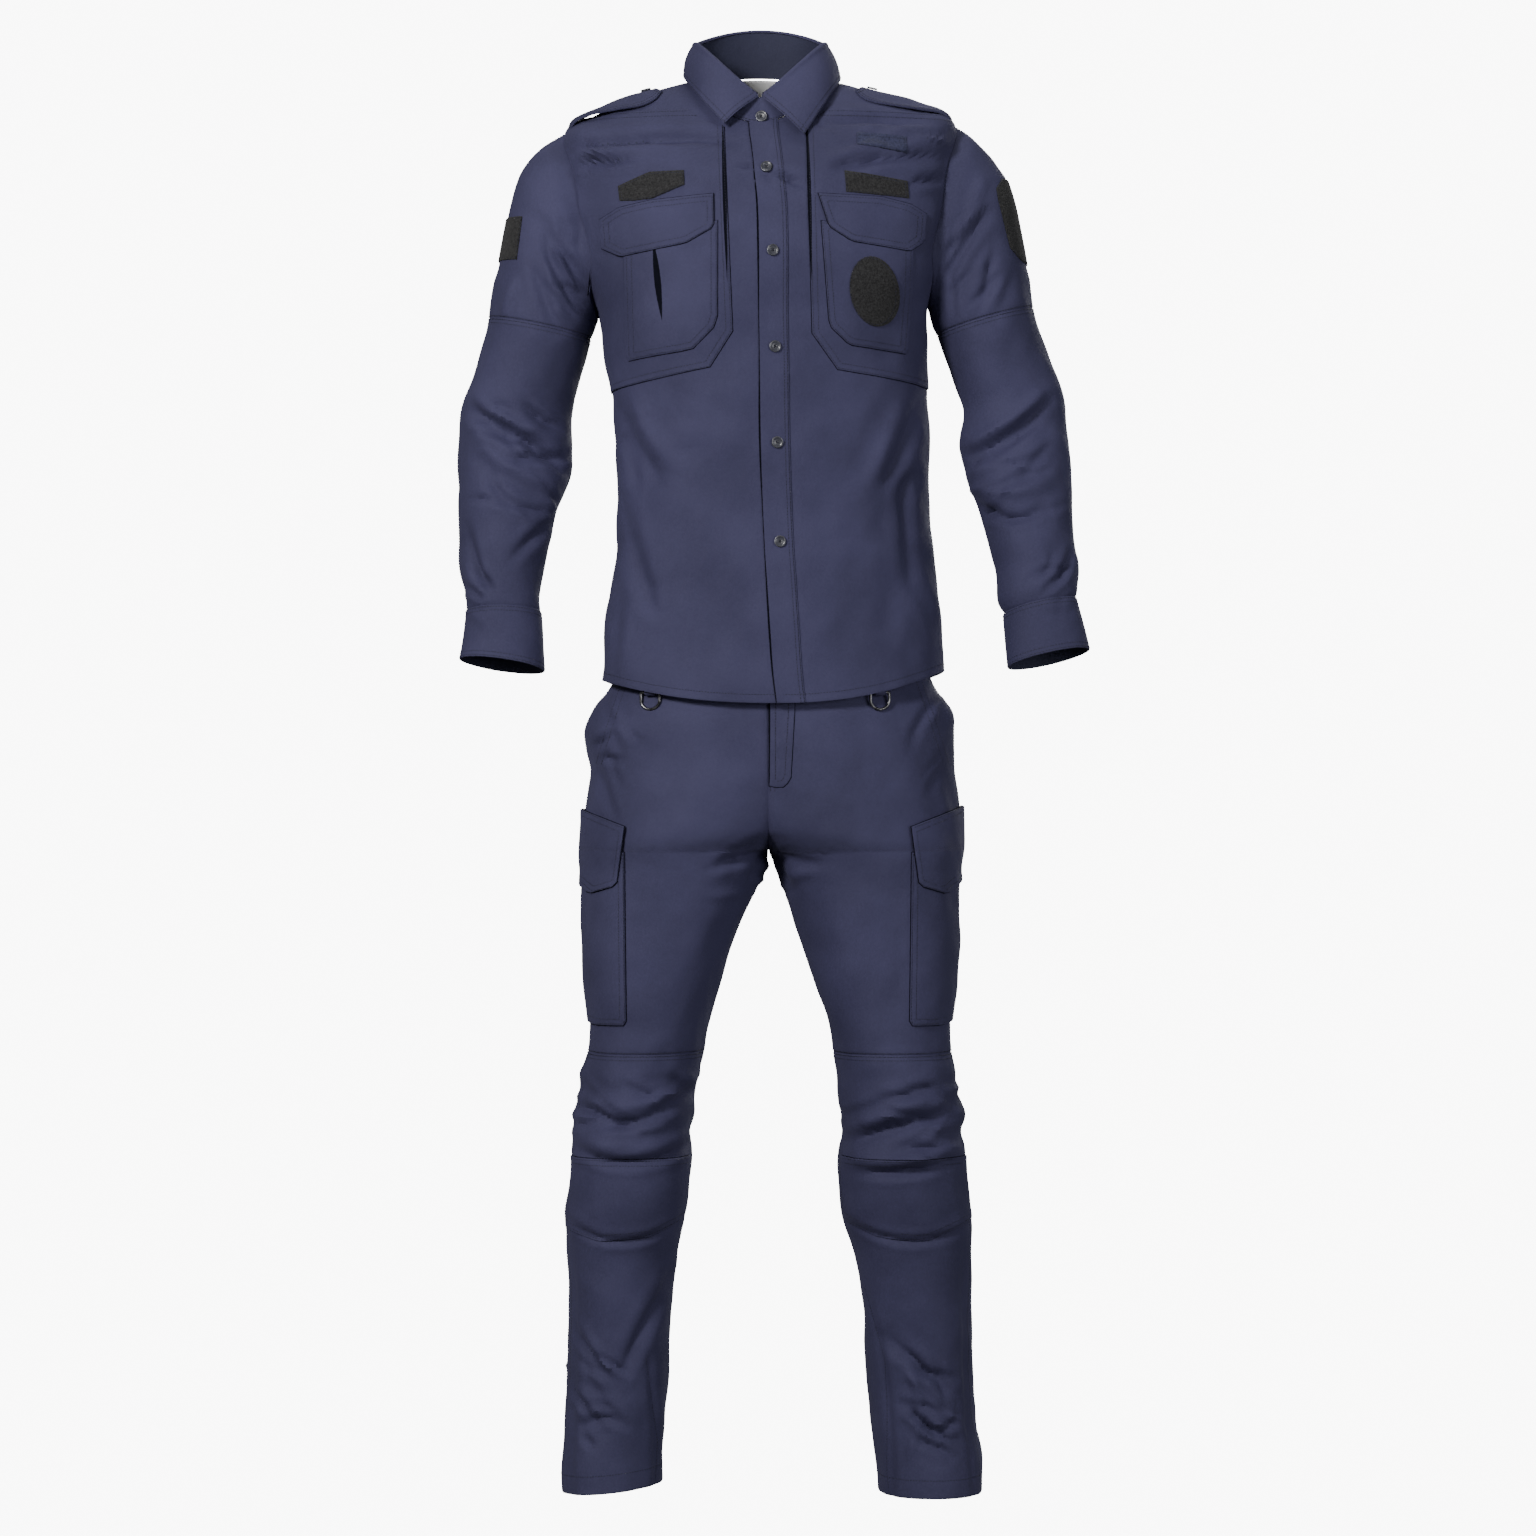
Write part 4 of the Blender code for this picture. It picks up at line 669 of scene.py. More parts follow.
PLACKET_HALF = 15.5
SHOULDER_TURN = 62.0
DITCH = 0.7  # how deep a seam draws the cloth in
body_rows = paced(torso, SHOULDER_TURN, NECK_ROW, 5.0)
cut = TORSO.at(body_rows)
reach_side = armhole_turn(body_rows, cut["turn"])
SEAM_SIDE = {RIGHT: "first_column", LEFT: "last_column"}
ENDS = ["first_column", "last_column"]
in_armhole = (body_rows > UNDERARM_ROW - 0.3)[:, None]


def near_sleeve(sheet, edge):
    """1 at the edge of a sheet of the body where a sleeve is set in, and 0 a little inside it."""
    return np.exp(-((sheet.run_in(edge) / 9) ** 2))


bare = {}
for side, name in SIDES.items():
    meet, edge = angle_at(cut, cut["placket"]), angle_at(cut, cut["placket"] + side * PLACKET_HALF)
    share = spread(250, 5.5)[None]
    angles = edge[:, None] + (side * reach_side - edge)[:, None] * share
    under = meet[:, None] + (edge - meet)[:, None] * np.linspace(0, 1, 4)[None, :-1]
    plain, height = body_sheet(body_rows, np.concatenate([under, angles], 1)[:, ::side])
    bare[side] = plain.moved(height * (1 - near_sleeve(plain, SEAM_SIDE[side]) * in_armhole))
    front = bare[side].ditched([SEAM_SIDE[side]], 1.5).ditched(["last_row"], 0.5).trimmed(MEET, ENDS)
    worn(f"shirt_front_{name}", thickened(f"front_{name}", front.surface(), -CLOTH, 0, navy))
plain, height = body_sheet(body_rows, 180 + (2 * spread(430, 5.5)[None] - 1) * reach_side[:, None])
by_sleeves = np.clip(sum(near_sleeve(plain, edge) for edge in ENDS), 0, 1)
bare_back = plain.moved(height * (1 - by_sleeves * in_armhole))
back = bare_back.ditched(ENDS, DITCH).trimmed(MEET, ENDS)
worn("shirt_back", thickened("back", back.surface(), -CLOTH, 0, navy))


# Sewing thread
# Every seam and edge is topstitched in navy polyester thread, with stitches 2.3 mm long. The
# runs are gathered piece by piece and the stitches are made together for each garment.
runs = {"shirt": [], "trousers": []}
PITCH, STITCH, THREAD = 3.2, 2.3, 0.34  # from one stitch to the next, its length, half its width
LONGEST_GAP = 25


def stitched(garment, points, normals):
    """Adds a run of stitches along a line that lies on the cloth."""
    keep = np.isfinite(points).all(1)
    points, normals = points[keep], normals[keep]
    if len(points) < 2:
        return
    gaps = np.linalg.norm(np.diff(points, axis=0), axis=1)
    for block in np.split(np.arange(len(points)), np.where(gaps > LONGEST_GAP)[0] + 1):
        if len(block) > 1:
            runs[garment].append((points[block], normals[block]))


def sewn_edges(garment, sheet, **insets):
    """Stitches along the named edges of a sheet, at each of the given distances in mm."""
    for edge, distances in insets.items():
        for inset in distances:
            stitched(garment, *sheet.edge_line(edge, inset))


for side in SIDES:
    sewn_edges("shirt", bare[side], **{SEAM_SIDE[side]: [5.0], "first_row": [9.0]})
sewn_edges("shirt", bare_back, first_column=[1.6], last_column=[1.6], first_row=[9.0])


# Front placket
# A straight band 31 mm wide, folded to the outside of the left front and topstitched along
# both of its edges. The buttons lie along its middle.
right_half = bare[RIGHT].part(columns=slice(-4, None))
band = right_half.joined(bare[LEFT].part(columns=slice(0, 4)))
placket_sheet = band.moved(np.full(band.points.shape[:2], SEAM + LAYER))
raised = 1.3 * np.exp(-((band.run_in("first_column") / 6) ** 2))
thin = Sheet(band.points, band.normals).moved(raised)
placket = thickened("placket_band", thin.trimmed(1.0, ["last_row"]).surface(), SEAM, SEAM + LAYER, navy)


def speckled(name, scale, detail, dark, light, rough=(), sharpen=(), **constants):
    """A material whose colour, and roughness if it is given, follow one even noise."""
    look = Look(name, **constants)
    grain = look.noise(scale, detail)
    look.feed("Base Color", look.mix(grain.within(*sharpen) if sharpen else grain, dark, light))
    if rough:
        smoothest, by = rough
        look.feed("Roughness", grain * by + smoothest)
    return look.material


# Painted shade: a near-black material for thin strips laid where the cloth is only in shade, in the slits and
# the pleat, under the placket's edge and round the sewn-on navy pieces.
shade = speckled(
    "shade in a slit", 300, 2, (0.0020, 0.0022, 0.0045), (0.0045, 0.0050, 0.0095),
    Specular_IOR_Level=0.05, Roughness=1.0,
)


def shaded(name, surface, low, high):
    """A thin dark strip that lies on the cloth: the shade under an edge or in an opening."""
    piece = thickened(name, surface, low, high, shade)
    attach(piece, "garment")
    return piece


edge = band.points[:, 0]
aside = unit(edge - band.points[:, 1])
open_by = (1.5 + 0.6 * np.sin(edge[:, 2] / 34))[:, None]
under = Sheet(np.stack([edge - aside * 5, edge + aside * open_by], 1), band.normals[:, :2])
under = shaded("placket_shade", under.surface(), 0.02, 0.16)
worn("placket", placket)
sewn_edges("shirt", placket_sheet, first_column=[3.0], last_column=[1.4, 5.0], first_row=[9.0])


# Collar and its label
# A shirt collar of two parts: a stand 30 mm high round the neck and a pointed leaf that turns
# over it, topstitched along its edges. A blank satin label is sewn inside at the back.
LEAF_COLUMNS = "angle x y z"
LEAF_RIGHT = [
    [-176.9, -11, 88, 44], [-135, -73, 62, 40], [-90, -93, -2, 27], [-45, -76, -60, -4],
    [-1.6, -48, -94, -38],
]
LEAF_LEFT = [
    [1.6, 39.3, -97, -50.5], [45, 65, -65, -8], [90, 79, -2, 25], [135, 54, 62, 38],
    [183.1, -11, 88, 44],
]
FOLD_HALF, FOLD_FRONT, FOLD_BACK, FOLD_CENTRE = 75.0, 79.0, 68.0, -8.6
STAND_INSIDE, ROLL_INSIDE, ROLL = 3.0, 3.4, 3.4
LABEL_ROW = 14.6


def fold_line(angle, inside=0.0):
    """The collar's top edge, where the leaf turns over the stand."""
    turn = np.radians(angle)
    across, ahead = np.sin(turn), np.cos(turn)
    reach = np.where(ahead > 0, FOLD_FRONT, FOLD_BACK) - inside
    rise = np.where(ahead > 0, -8 + 67 * np.abs(across) ** 1.15, 59 + 25 * np.abs(ahead) ** 1.5)
    x = FOLD_CENTRE + (FOLD_HALF - inside) * across
    return np.stack([x, 2 - reach * ahead - 2 * np.abs(across), rise], -1)


def grid_normals(points):
    """The unit normals of a grid of points, all to one side of it."""
    return unit(np.cross(np.gradient(points, axis=1), np.gradient(points, axis=0)))


def standing(points):
    """A sheet round the neck with its way out worked out from its own rows."""
    normals = grid_normals(points)
    away = ((points - [FOLD_CENTRE, 0, 0]) * [1, 1, 0] * normals).sum(-1)
    return Sheet(points, normals * np.sign(np.median(away)))


angles = np.linspace(0, 360, 121)
low = torso(np.full(121, float(NECK_ROW)), angles) + [0, 0, 0.8]
high = fold_line(angles, STAND_INSIDE)
share = np.array([0, 0.04, 0.1, 0.2, 0.35, 0.5, 0.65, 0.8, 0.92, 1])[:, None, None]
stand_sheet = standing(low + (high - low) * share).trimmed(MEET, ENDS)
stand = thickened("stand", stand_sheet.surface(), -CLOTH, 0, navy)
worn("collar_stand", stand)
sewn_edges("shirt", stand_sheet, first_row=[2.0])

edge = {name: [] for name in LEAF_COLUMNS.split()}
for rows in (LEAF_LEFT, LEAF_RIGHT):
    half = Table(LEAF_COLUMNS, rows).at(np.linspace(0, 4, 61))
    for name in edge:
        edge[name] += list(half[name][1 if edge[name] and rows is LEAF_RIGHT else 0 :])
edge = {name: np.array(values) for name, values in edge.items()}
top = fold_line(edge["angle"])
bottom = np.stack([edge["x"], edge["y"], edge["z"]], -1)
fall = np.concatenate([np.linspace(0, 0.9, 12), [0.94, 0.97, 0.99, 1]])[:, None, None]
points = top + (bottom - top) * fall
points[1:] += standing(points).normals[1:] * (np.sin(np.pi * fall) * 2.8)[1:]
middle = fold_line(edge["angle"], ROLL_INSIDE)
away = unit(top - middle)
bend = np.radians(np.linspace(170, 12, 8))[:, None, None]
roll = middle + [0, 0, 0.4] + ROLL * (away * np.cos(bend) + np.array([0, 0, 1]) * np.sin(bend))
leaf_sheet = standing(np.concatenate([roll, points]))
wobble = ripple(leaf_sheet.points) * 0.5 * np.linspace(0, 1, len(leaf_sheet.points))[:, None]
leaf_sheet = leaf_sheet.moved(np.clip(wobble, -0.6, 1.2))
leaf = thickened("leaf", leaf_sheet.surface(), -1.6, 0, navy)
worn("collar_leaf", leaf)
sewn_edges("shirt", leaf_sheet, last_row=[1.5, 6.5], first_column=[1.5, 6.5], last_column=[1.5, 6.5])

satin = Look("label satin", Sheen_Weight=0.2, Roughness=0.42)
weft, warp = satin.cut()
thread = warp.wave(0.0004) * 0.6 + weft.wave(0.0011) * 0.4
satin.feed("Base Color", satin.mix(thread, (0.74, 0.745, 0.76), (0.88, 0.885, 0.90)))
satin.feed("Normal", satin.bump(thread, 0.00008))
rows = body_rows > LABEL_ROW
centre = len(bare_back.points[0]) // 2
inside = bare_back.part(rows=rows, columns=slice(centre - 14, centre + 14))
inside = Sheet(inside.points - inside.normals * CLOTH, -inside.normals, inside.flat)


def outlined(surface, outline, view="front", behind=None):
    """What lies inside a convex outline, drawn as seen from the front (x, z) or the side (y, z),
    and in front of a plane across the body, where behind says how far back it is."""
    first = 0 if view == "front" else 1
    middle = np.mean(outline, axis=0)
    for (a, c), (b, d) in zip(outline, outline[1:] + outline[:1]):
        normal, point, centre = Vector((0, 0, 0)), Vector((0, 0, 0)), Vector((0, 0, 0))
        normal[first], normal[2] = d - c, a - b
        point[first], point[2] = a, c
        centre[first], centre[2] = middle
        if normal.dot(centre - point) > 0:
            normal.negate()
        normal.normalize()
        # another cut just inside the edge lets it round over
        for inset in (1.0, 0.0):
            everything = surface.verts[:] + surface.edges[:] + surface.faces[:]
            bmesh.ops.bisect_plane(
                surface, geom=everything, dist=1e-4, plane_co=point - normal * inset,
                plane_no=normal, clear_outer=inset == 0,
            )
    bmesh.ops.remove_doubles(surface, verts=surface.verts, dist=0.04)
    if behind is not None:
        outlined(surface, [(-300, 0), (behind, 0), (behind, -1600), (-300, -1600)], "side")
    return surface


label = outlined(inside.surface(), [(-27, -16), (28, -16), (28, 60), (-27, 60)])
label = thickened("label", label, SEAM, SEAM + 0.8, satin.material)
worn("neck_label", label)


# Sleeves and cuffs
# Each sleeve is set in at the armhole and joined above the elbow, and its cuff is 60 mm deep.
# The cloth gathers at the elbows and runs into folds under the arms.
SLEEVE_COLUMNS = "outer_x outer_z inner_x inner_z middle_y half_depth lean"
SLEEVE_RIGHT = Table(
    SLEEVE_COLUMNS,
    [
        [-221.2, -33.8, -184.9, -239.6, 2, 58, 0], [-249.8, -50.2, -186.2, -243, 3, 62, 0],
        [-270.8, -76.5, -187.6, -246.2, 4, 64, 0], [-283, -112.5, -188.7, -249.6, 5, 66, 0],
        [-291.3, -153.5, -189.8, -253.4, 6, 67, 0], [-299, -197.3, -191.4, -257.6, 7, 67, 0],
        [-306.5, -239.8, -193.5, -263, 9, 66, 0], [-314, -269.5, -198.5, -284, 11, 65, 0],
        [-324, -304.5, -207.5, -315.8, 12, 63, 1], [-336, -336, -214.5, -348.8, 13, 61, 3],
        [-337.4, -368.7, -215, -379.7, 12, 59, 6], [-339.3, -404.3, -219.3, -415.3, 8, 57, 9],
        [-338.8, -442.2, -231, -448.8, 0, 54, 11], [-339.3, -480.1, -239.4, -482.3, -9, 50, 11],
        [-336.4, -517.8, -247.7, -517.8, -19, 46, 11], [-330.4, -546.6, -250, -546.6, -27, 42, 11],
        [-329.5, -563.4, -248.5, -564.5, -32, 39, 10],
    ],
)
SLEEVE_LEFT = Table(
    SLEEVE_COLUMNS,
    [
        [203.6, -26.1, 173.9, -226.4, 2, 58, 0], [227.8, -42.5, 175.6, -230.4, 3, 62, 0],
        [255.4, -73.2, 177.2, -234, 4, 64, 0], [268.7, -104, 178.6, -238.2, 5, 66, 0],
        [277.5, -142.5, 180.4, -243, 6, 67, 0], [284.8, -184.2, 182.6, -249.6, 7, 67, 0],
        [292.5, -228.2, 186.6, -258.2, 9, 66, 0], [303, -259, 195.3, -283.2, 11, 65, 0],
        [317.5, -296.2, 207.3, -316.2, 12, 63, 1], [329.5, -331.2, 215.1, -344.6, 13, 61, 3],
        [332.4, -368.7, 212.8, -380.9, 12, 59, 6], [334.9, -406.5, 217, -415.3, 8, 57, 9],
        [336.6, -443.3, 229.9, -445.5, 0, 54, 11], [339.3, -479, 241.6, -482.3, -9, 50, 11],
        [341.9, -514.5, 252, -515.6, -19, 46, 11], [338.6, -537.5, 254, -548, -27, 42, 11],
        [336, -550, 259.2, -566.5, -32, 39, 10],
    ],
)
CUFF_RIGHT = Table(
    SLEEVE_COLUMNS,
    [
        [-330.2, -563.8, -247.8, -564.9, -32, 40, 10], [-334, -590.7, -245.4, -597.3, -38, 39.5, 10],
        [-339.1, -615.4, -244.2, -629, -44, 39.5, 10],
    ],
)
CUFF_LEFT = Table(
    SLEEVE_COLUMNS,
    [
        [336.7, -550.4, 258.5, -566.9, -32, 40, 10], [343.9, -579.8, 259.3, -597.3, -38, 39.5, 10],
        [350, -606, 261.8, -625.2, -44, 39.5, 10],
    ],
)
ELBOW_SEAM_ROW = 6
ARM_FRONT = 90.0
TUCK = 2.2  # how far the sleeve head runs in under the armhole
FELLED = [1.8, 6.0]  # the two rows of stitches beside a seam that is folded flat


def ring_point(cut, turn):
    """A point of a sleeve ring: turn is 0 on the outside, 90 on the front, 180 at the body."""
    turn, lean = np.radians(turn), np.radians(cut["lean"])
    wide, deep = np.cos(turn) / 2, np.sin(turn) * cut["half_depth"]
    x = (cut["outer_x"] + cut["inner_x"]) / 2 + (cut["outer_x"] - cut["inner_x"]) * wide
    z = (cut["outer_z"] + cut["inner_z"]) / 2 + (cut["outer_z"] - cut["inner_z"]) * wide
    return np.stack([x, cut["middle_y"] - deep * np.cos(lean), z + deep * np.sin(lean)], axis=-1)


def armhole(side, turn):
    """A point of the armhole's edge, for the same turn as ring_point."""
    turn = np.asarray(turn, float) % 360
    on_front = turn <= 180
    row = SHOULDER_ROW + (UNDERARM_ROW - SHOULDER_ROW) * np.where(on_front, turn, 360 - turn) / 180
    cut = TORSO.at(row)
    reach = armhole_turn(row, cut["turn"])
    return torso(row, side * np.where(on_front, reach, 180 - reach))


def sleeve(side, table, row, turn):
    """The sleeve's surface: its first ring is the armhole, and the next ones its table's rings."""
    row, turn = np.broadcast_arrays(np.asarray(row, float), np.asarray(turn, float))
    ring = ring_point(table.at(row), turn)
    head = np.clip(1 - row, 0, 1)[..., None]
    start = ring_point(table.at(np.zeros_like(row)), turn)
    return ring + (armhole(side, turn) - start) * head**2 * (3 - 2 * head)


def sleeve_sheet(surface, rows, table, join):
    """A sheet all round an arm, from the seam under it, with its relief as far as join lets it."""
    turns = -180 + 360 * spread(360, GRID)[None]
    points = surface(rows[:, None], turns)
    centre = points.mean(1, keepdims=True)
    normals = normals_of(surface, rows[:, None], turns, lambda p: p - centre, row_step=0.05)
    normals[:, -1] = normals[:, 0]
    height = relief(points, table.at(rows)["middle_y"][:, None]) * join[:, None]
    height[:, -1] = height[:, 0]
    return Sheet(points, normals).moved(height)


def halves(side, sheet, pieces, ditches, edges):
    """The front and the back piece of a sheet that goes round an arm, and the seam outside it."""
    name, half = SIDES[side], sheet.points.shape[1] // 2
    for (node, label), part in zip(pieces, (slice(half, None), slice(0, half + 1))):
        cut = sheet.part(columns=part).ditched(ditches, DITCH).trimmed(MEET, edges)
        worn(f"{node}_{name}", thickened(f"{label}_{name}", cut.surface(), -CLOTH, 0, navy))


def arm_back(sheet):
    """The part of a sheet round an arm that ends at the seam outside the arm."""
    return sheet.part(columns=slice(0, sheet.points.shape[1] // 2 + 1))


upper, cuffs = {}, {}
for side, sleeve_table, cuff_table in ((RIGHT, SLEEVE_RIGHT, CUFF_RIGHT), (LEFT, SLEEVE_LEFT, CUFF_LEFT)):
    last = len(sleeve_table.rows) - 1

    def arm(row, turn):
        return sleeve(side, sleeve_table, np.clip(row, 0, last), turn)

    def wrist(row, turn):
        row, turn = np.broadcast_arrays(np.asarray(row, float), np.asarray(turn, float))
        return ring_point(cuff_table.at(row), turn)

    rows = paced(arm, ARM_FRONT, ELBOW_SEAM_ROW, GRID)
    upper[side] = sleeve_sheet(arm, rows, sleeve_table, np.clip(rows / 0.7, 0, 1))
    tucked = upper[side].ditched(["last_row"], DITCH)
    tucked.points[0, :, 0] -= side * TUCK
    pieces = ("sleeve_upper", "arm_upper"), ("sleeve_back", "arm_back")
    halves(side, tucked, pieces, ENDS, ["last_row", *ENDS])
    sewn_edges("shirt", upper[side], last_row=[1.8])
    sewn_edges("shirt", arm_back(upper[side]), last_column=FELLED)

    rows = paced(arm, ARM_FRONT, last, GRID, ELBOW_SEAM_ROW)
    lower = sleeve_sheet(arm, rows, sleeve_table, np.clip((last - rows) / 0.8, 0, 1))
    sewn_edges("shirt", lower, first_row=FELLED)
    edges = ["first_row", "last_row", *ENDS]
    halves(side, lower, (("sleeve_lower", "arm_lower"), ("sleeve_elbow", "arm_elbow")), edges, edges)
    sewn_edges("shirt", arm_back(lower), last_column=FELLED)

    rows = paced(wrist, ARM_FRONT, len(cuff_table.rows) - 1, 4.6)
    cuffs[side] = sleeve_sheet(wrist, rows, cuff_table, np.full_like(rows, 0.45))
    sewn_edges("shirt", cuffs[side], first_row=FELLED, last_row=FELLED)
    band = cuffs[side].trimmed(MEET, ["first_row", *ENDS])
    band = thickened(f"cuff_band_{SIDES[side]}", band.surface(), -CLOTH, 0, navy)
    worn(f"cuff_{SIDES[side]}", band)


# Chest panels, patch pockets and flaps
# A large panel on each side of the chest is open along part of its inner edge, for papers. On
# it lies a patch pocket with a shaped flap. All are of the shirt's cloth with turned edges.
PANEL_FOOT_ROW, PANEL_TOP_ROW = 7.6, 17.2
rows = (body_rows > PANEL_FOOT_ROW) & (body_rows < PANEL_TOP_ROW)
columns = {LEFT: slice(4, -2), RIGHT: slice(2, -4)}
on_chest = {side: bare[side].part(rows, columns[side]) for side in SIDES}


def inward(points):
    """The ways in from each side of a convex outline."""
    ahead = np.roll(points, -1, 0) - points
    ways = unit(np.stack([ahead[:, 1], -ahead[:, 0]], 1))
    return ways * np.sign(((points.mean(0) - points) * ways).sum(1))[:, None]


def inset_outline(outline, inset):
    """The same convex outline, drawn in by inset mm."""
    points = np.array(outline, float)
    normals = inward(points)
    base = points + normals * inset
    made = []
    for i in range(len(points)):
        a, b, n, m = base[i - 1], base[i], normals[i - 1], normals[i]
        made.append(np.linalg.solve(np.array([n, m]), [n @ a, m @ b]) if abs(n @ m) < 0.9995 else b)
    return np.array(made)


SHADE = 0.12  # how thick the strips of shade are
IN_FRONT = -400  # where the rays that find the cloth start


def edge_shade(name, sheet, outline, height, behind):
    """The line of shade where a sewn piece's turned edge meets the cloth that it lies on."""
    outer = [tuple(point) for point in inset_outline(outline, -0.8)]
    surface = outlined(sheet.surface(), outer, behind=behind)
    inner = inset_outline(outline, 3.0)
    ways = inward(inner)
    hidden = {v for v in surface.verts if ((np.array(v.co.xz) - inner) * ways).sum(1).min() > 0}
    covered = [face for face in surface.faces if all(v in hidden for v in face.verts)]
    bmesh.ops.delete(surface, geom=covered, context="FACES")
    return shaded(name, surface, height, height + SHADE)


def sewn_on(node, piece_name, sheet, outline, layer=0, thickness=LAYER, look=navy, behind=None,
            garment="shirt", on="front_left", insets=(1.6,), slot="navy_twill", with_pieces=()):
    """A piece cut to an outline from its panel's own surface, laid on it and stitched round."""
    low = SEAM + layer * STEP
    surface = outlined(sheet.surface(), outline, behind=behind)
    out = surface.verts.layers.float_vector["out"]
    surface.verts.index_update()
    tree = BVHTree.FromPolygons(
        [v.co + v[out] * (low + thickness) for v in surface.verts],
        [[v.index for v in f.verts] for f in surface.faces],
    )
    piece = thickened(piece_name, surface, low, low + thickness, look)
    if look is navy:
        shade_at = low - 0.27
        with_pieces = [*with_pieces, edge_shade(piece_name + "_shade", sheet, outline, shade_at, behind)]
    worn(node, piece)
    for inset in insets:
        line = inset_outline(outline, inset)
        for start, end in zip(line, np.roll(line, -1, 0)):
            found = []
            for share in np.linspace(0, 1, max(2, int(np.linalg.norm(end - start) / 3))):
                x, z = start + (end - start) * share
                hit = tree.ray_cast(Vector((x, IN_FRONT, z)), Vector((0, 1, 0)))
                found.append([*hit[0], *hit[1]] if hit[0] else [np.nan] * 6)
            found = np.array(found)
            stitched(garment, found[:, :3], found[:, 3:])


def slit(name, sheet, start, end, width, height):
    """The shaded inside of a narrow opening between two points, on the piece that has it."""
    (x0, z0), (x1, z1) = start, end
    length = math.hypot(x1 - x0, z1 - z0)
    aside = np.array([z1 - z0, x0 - x1]) / length * width / 2
    outline = []
    for way, turns in ((1, np.linspace(0, 1, 8)[1:]), (-1, np.linspace(1, 0, 8)[1:])):
        for share in turns:
            middle = np.array([x0 + (x1 - x0) * share, z0 + (z1 - z0) * share])
            outline.append(tuple(middle + way * aside * math.sin(math.pi * share)))
    return shaded(name, outlined(sheet.surface(), outline), height, height + SHADE)


PANEL = {
    RIGHT: [(-260, -20), (-48.5, -20), (-38, -266), (-63, -305), (-121, -315), (-260, -341)],
    LEFT: [(41, -20), (47.5, -268), (75, -306), (120, -312), (260, -330), (260, -20)],
}
POCKET = {
    RIGHT: [(-155, -160), (-54, -148), (-54, -250), (-58, -262), (-80, -284), (-94, -287), (-149, -294),
            (-152, -288)],
    LEFT: [(57, -148), (156, -160), (155, -222), (150, -281), (147, -286), (90, -280), (84, -277), (68, -262),
           (65, -254)],
}
FLAP = {
    RIGHT: [(-180, -142), (-159, -131), (-125, -125), (-58.6, -119), (-58, -152), (-61, -157), (-86, -171),
            (-94, -173), (-155, -182.5), (-160, -181.5), (-177.5, -172)],
    LEFT: [(54, -118.5), (121.5, -120.5), (153, -127), (169, -135.5), (167, -163), (163, -168), (152, -175.8),
           (146, -176), (92, -169.5), (86, -167), (67, -155), (64, -150)],
}
SLIT = {RIGHT: ((-49.5, -27), (-43.5, -216)), LEFT: ((42, -27), (46.6, -212))}
DOUBLE = (1.6, 7.0)  # the two rows of stitches inside an edge
for side, name in SIDES.items():
    ground = on_chest[side]
    opening = slit(f"panel_slit_{name}", ground, *SLIT[side], 4.2, SEAM + LAYER)
    sewn_on(f"chest_panel_{name}", f"panel_{name}", ground, PANEL[side], on=f"front_{name}",
            insets=DOUBLE, with_pieces=[opening])
    pleat = []
    if side == RIGHT:
        # a strip of painted shade down the pleat of the right pocket
        pleat = [slit("pleat", ground, (-122.5, -166), (-112.5, -254), 7.0, SEAM + STEP + LAYER)]
    sewn_on(f"pocket_{name}", f"patch_pocket_{name}", ground, POCKET[side], 1, on=f"panel_{name}",
            insets=DOUBLE, with_pieces=pleat)
    sewn_on(f"pocket_flap_{name}", f"flap_{name}", ground, FLAP[side], 2, on=f"patch_pocket_{name}",
            insets=DOUBLE)


# Loop patches
# Plain black loop tape for badges: on both arms, over the right pocket, for a name over the
# left one, and an oval on the left pocket. One small patch is in the shirt's navy.
def loop_tape(name, dark, light):
    look = Look(name, Sheen_Weight=0.06, Sheen_Roughness=0.5, Specular_IOR_Level=0.12, Roughness=0.95)
    fuzz, loops = look.noise(1500, 4), look.noise(480, 3)
    pile = fuzz * 0.55 + loops * 0.6
    look.feed("Base Color", look.mix(pile.within(0.35, 0.8), dark, light))
    look.feed("Normal", look.bump(pile, 0.0011))
    return look.material


black_loops = loop_tape("black loop tape", (0.008, 0.008, 0.0085), (0.034, 0.034, 0.035))
navy_loops = loop_tape("navy loop tape", (0.018, 0.0195, 0.041), (0.040, 0.042, 0.086))
BADGE = [(-161, -107), (-127, -93), (-90.5, -92), (-89.5, -108), (-124, -122.5), (-144, -124), (-159, -123)]
NAME = [(82, -92), (149.5, -101.5), (151, -120), (84, -115.5)]
RANK = [(96, -48.5), (149, -52.5), (149.5, -70.5), (96, -62.5)]
OVAL = [
    (112.5 + (27 if math.cos(a) > 0 else 26) * math.cos(a), -222 + 37 * math.sin(a) - 4 * math.cos(a))
    for a in np.linspace(0, math.tau, 32, endpoint=False)
]
tape = {"look": black_loops, "slot": "black_loop_tape"}
sewn_on("badge_patch", "loop_badge", on_chest[RIGHT], BADGE, 1, on="panel_right", **tape)
sewn_on("name_patch", "loop_name", on_chest[LEFT], NAME, 1, on="panel_left", **tape)
sewn_on("rank_patch", "loop_rank", on_chest[LEFT], RANK, 1, on="panel_left", look=navy_loops)
sewn_on("badge_oval", "loop_oval", on_chest[LEFT], OVAL, 2, on="patch_pocket_left", **tape)
PLAIN = [(-340, -126), (-267.6, -133.2), (-273.6, -180.4), (-340, -173)]
SHIELD = [(256, -90), (248, -104), (251, -116), (255.6, -147.6), (263.4, -167.3), (276.6, -179.5),
          (290, -183), (340, -170), (340, -88), (275, -87)]
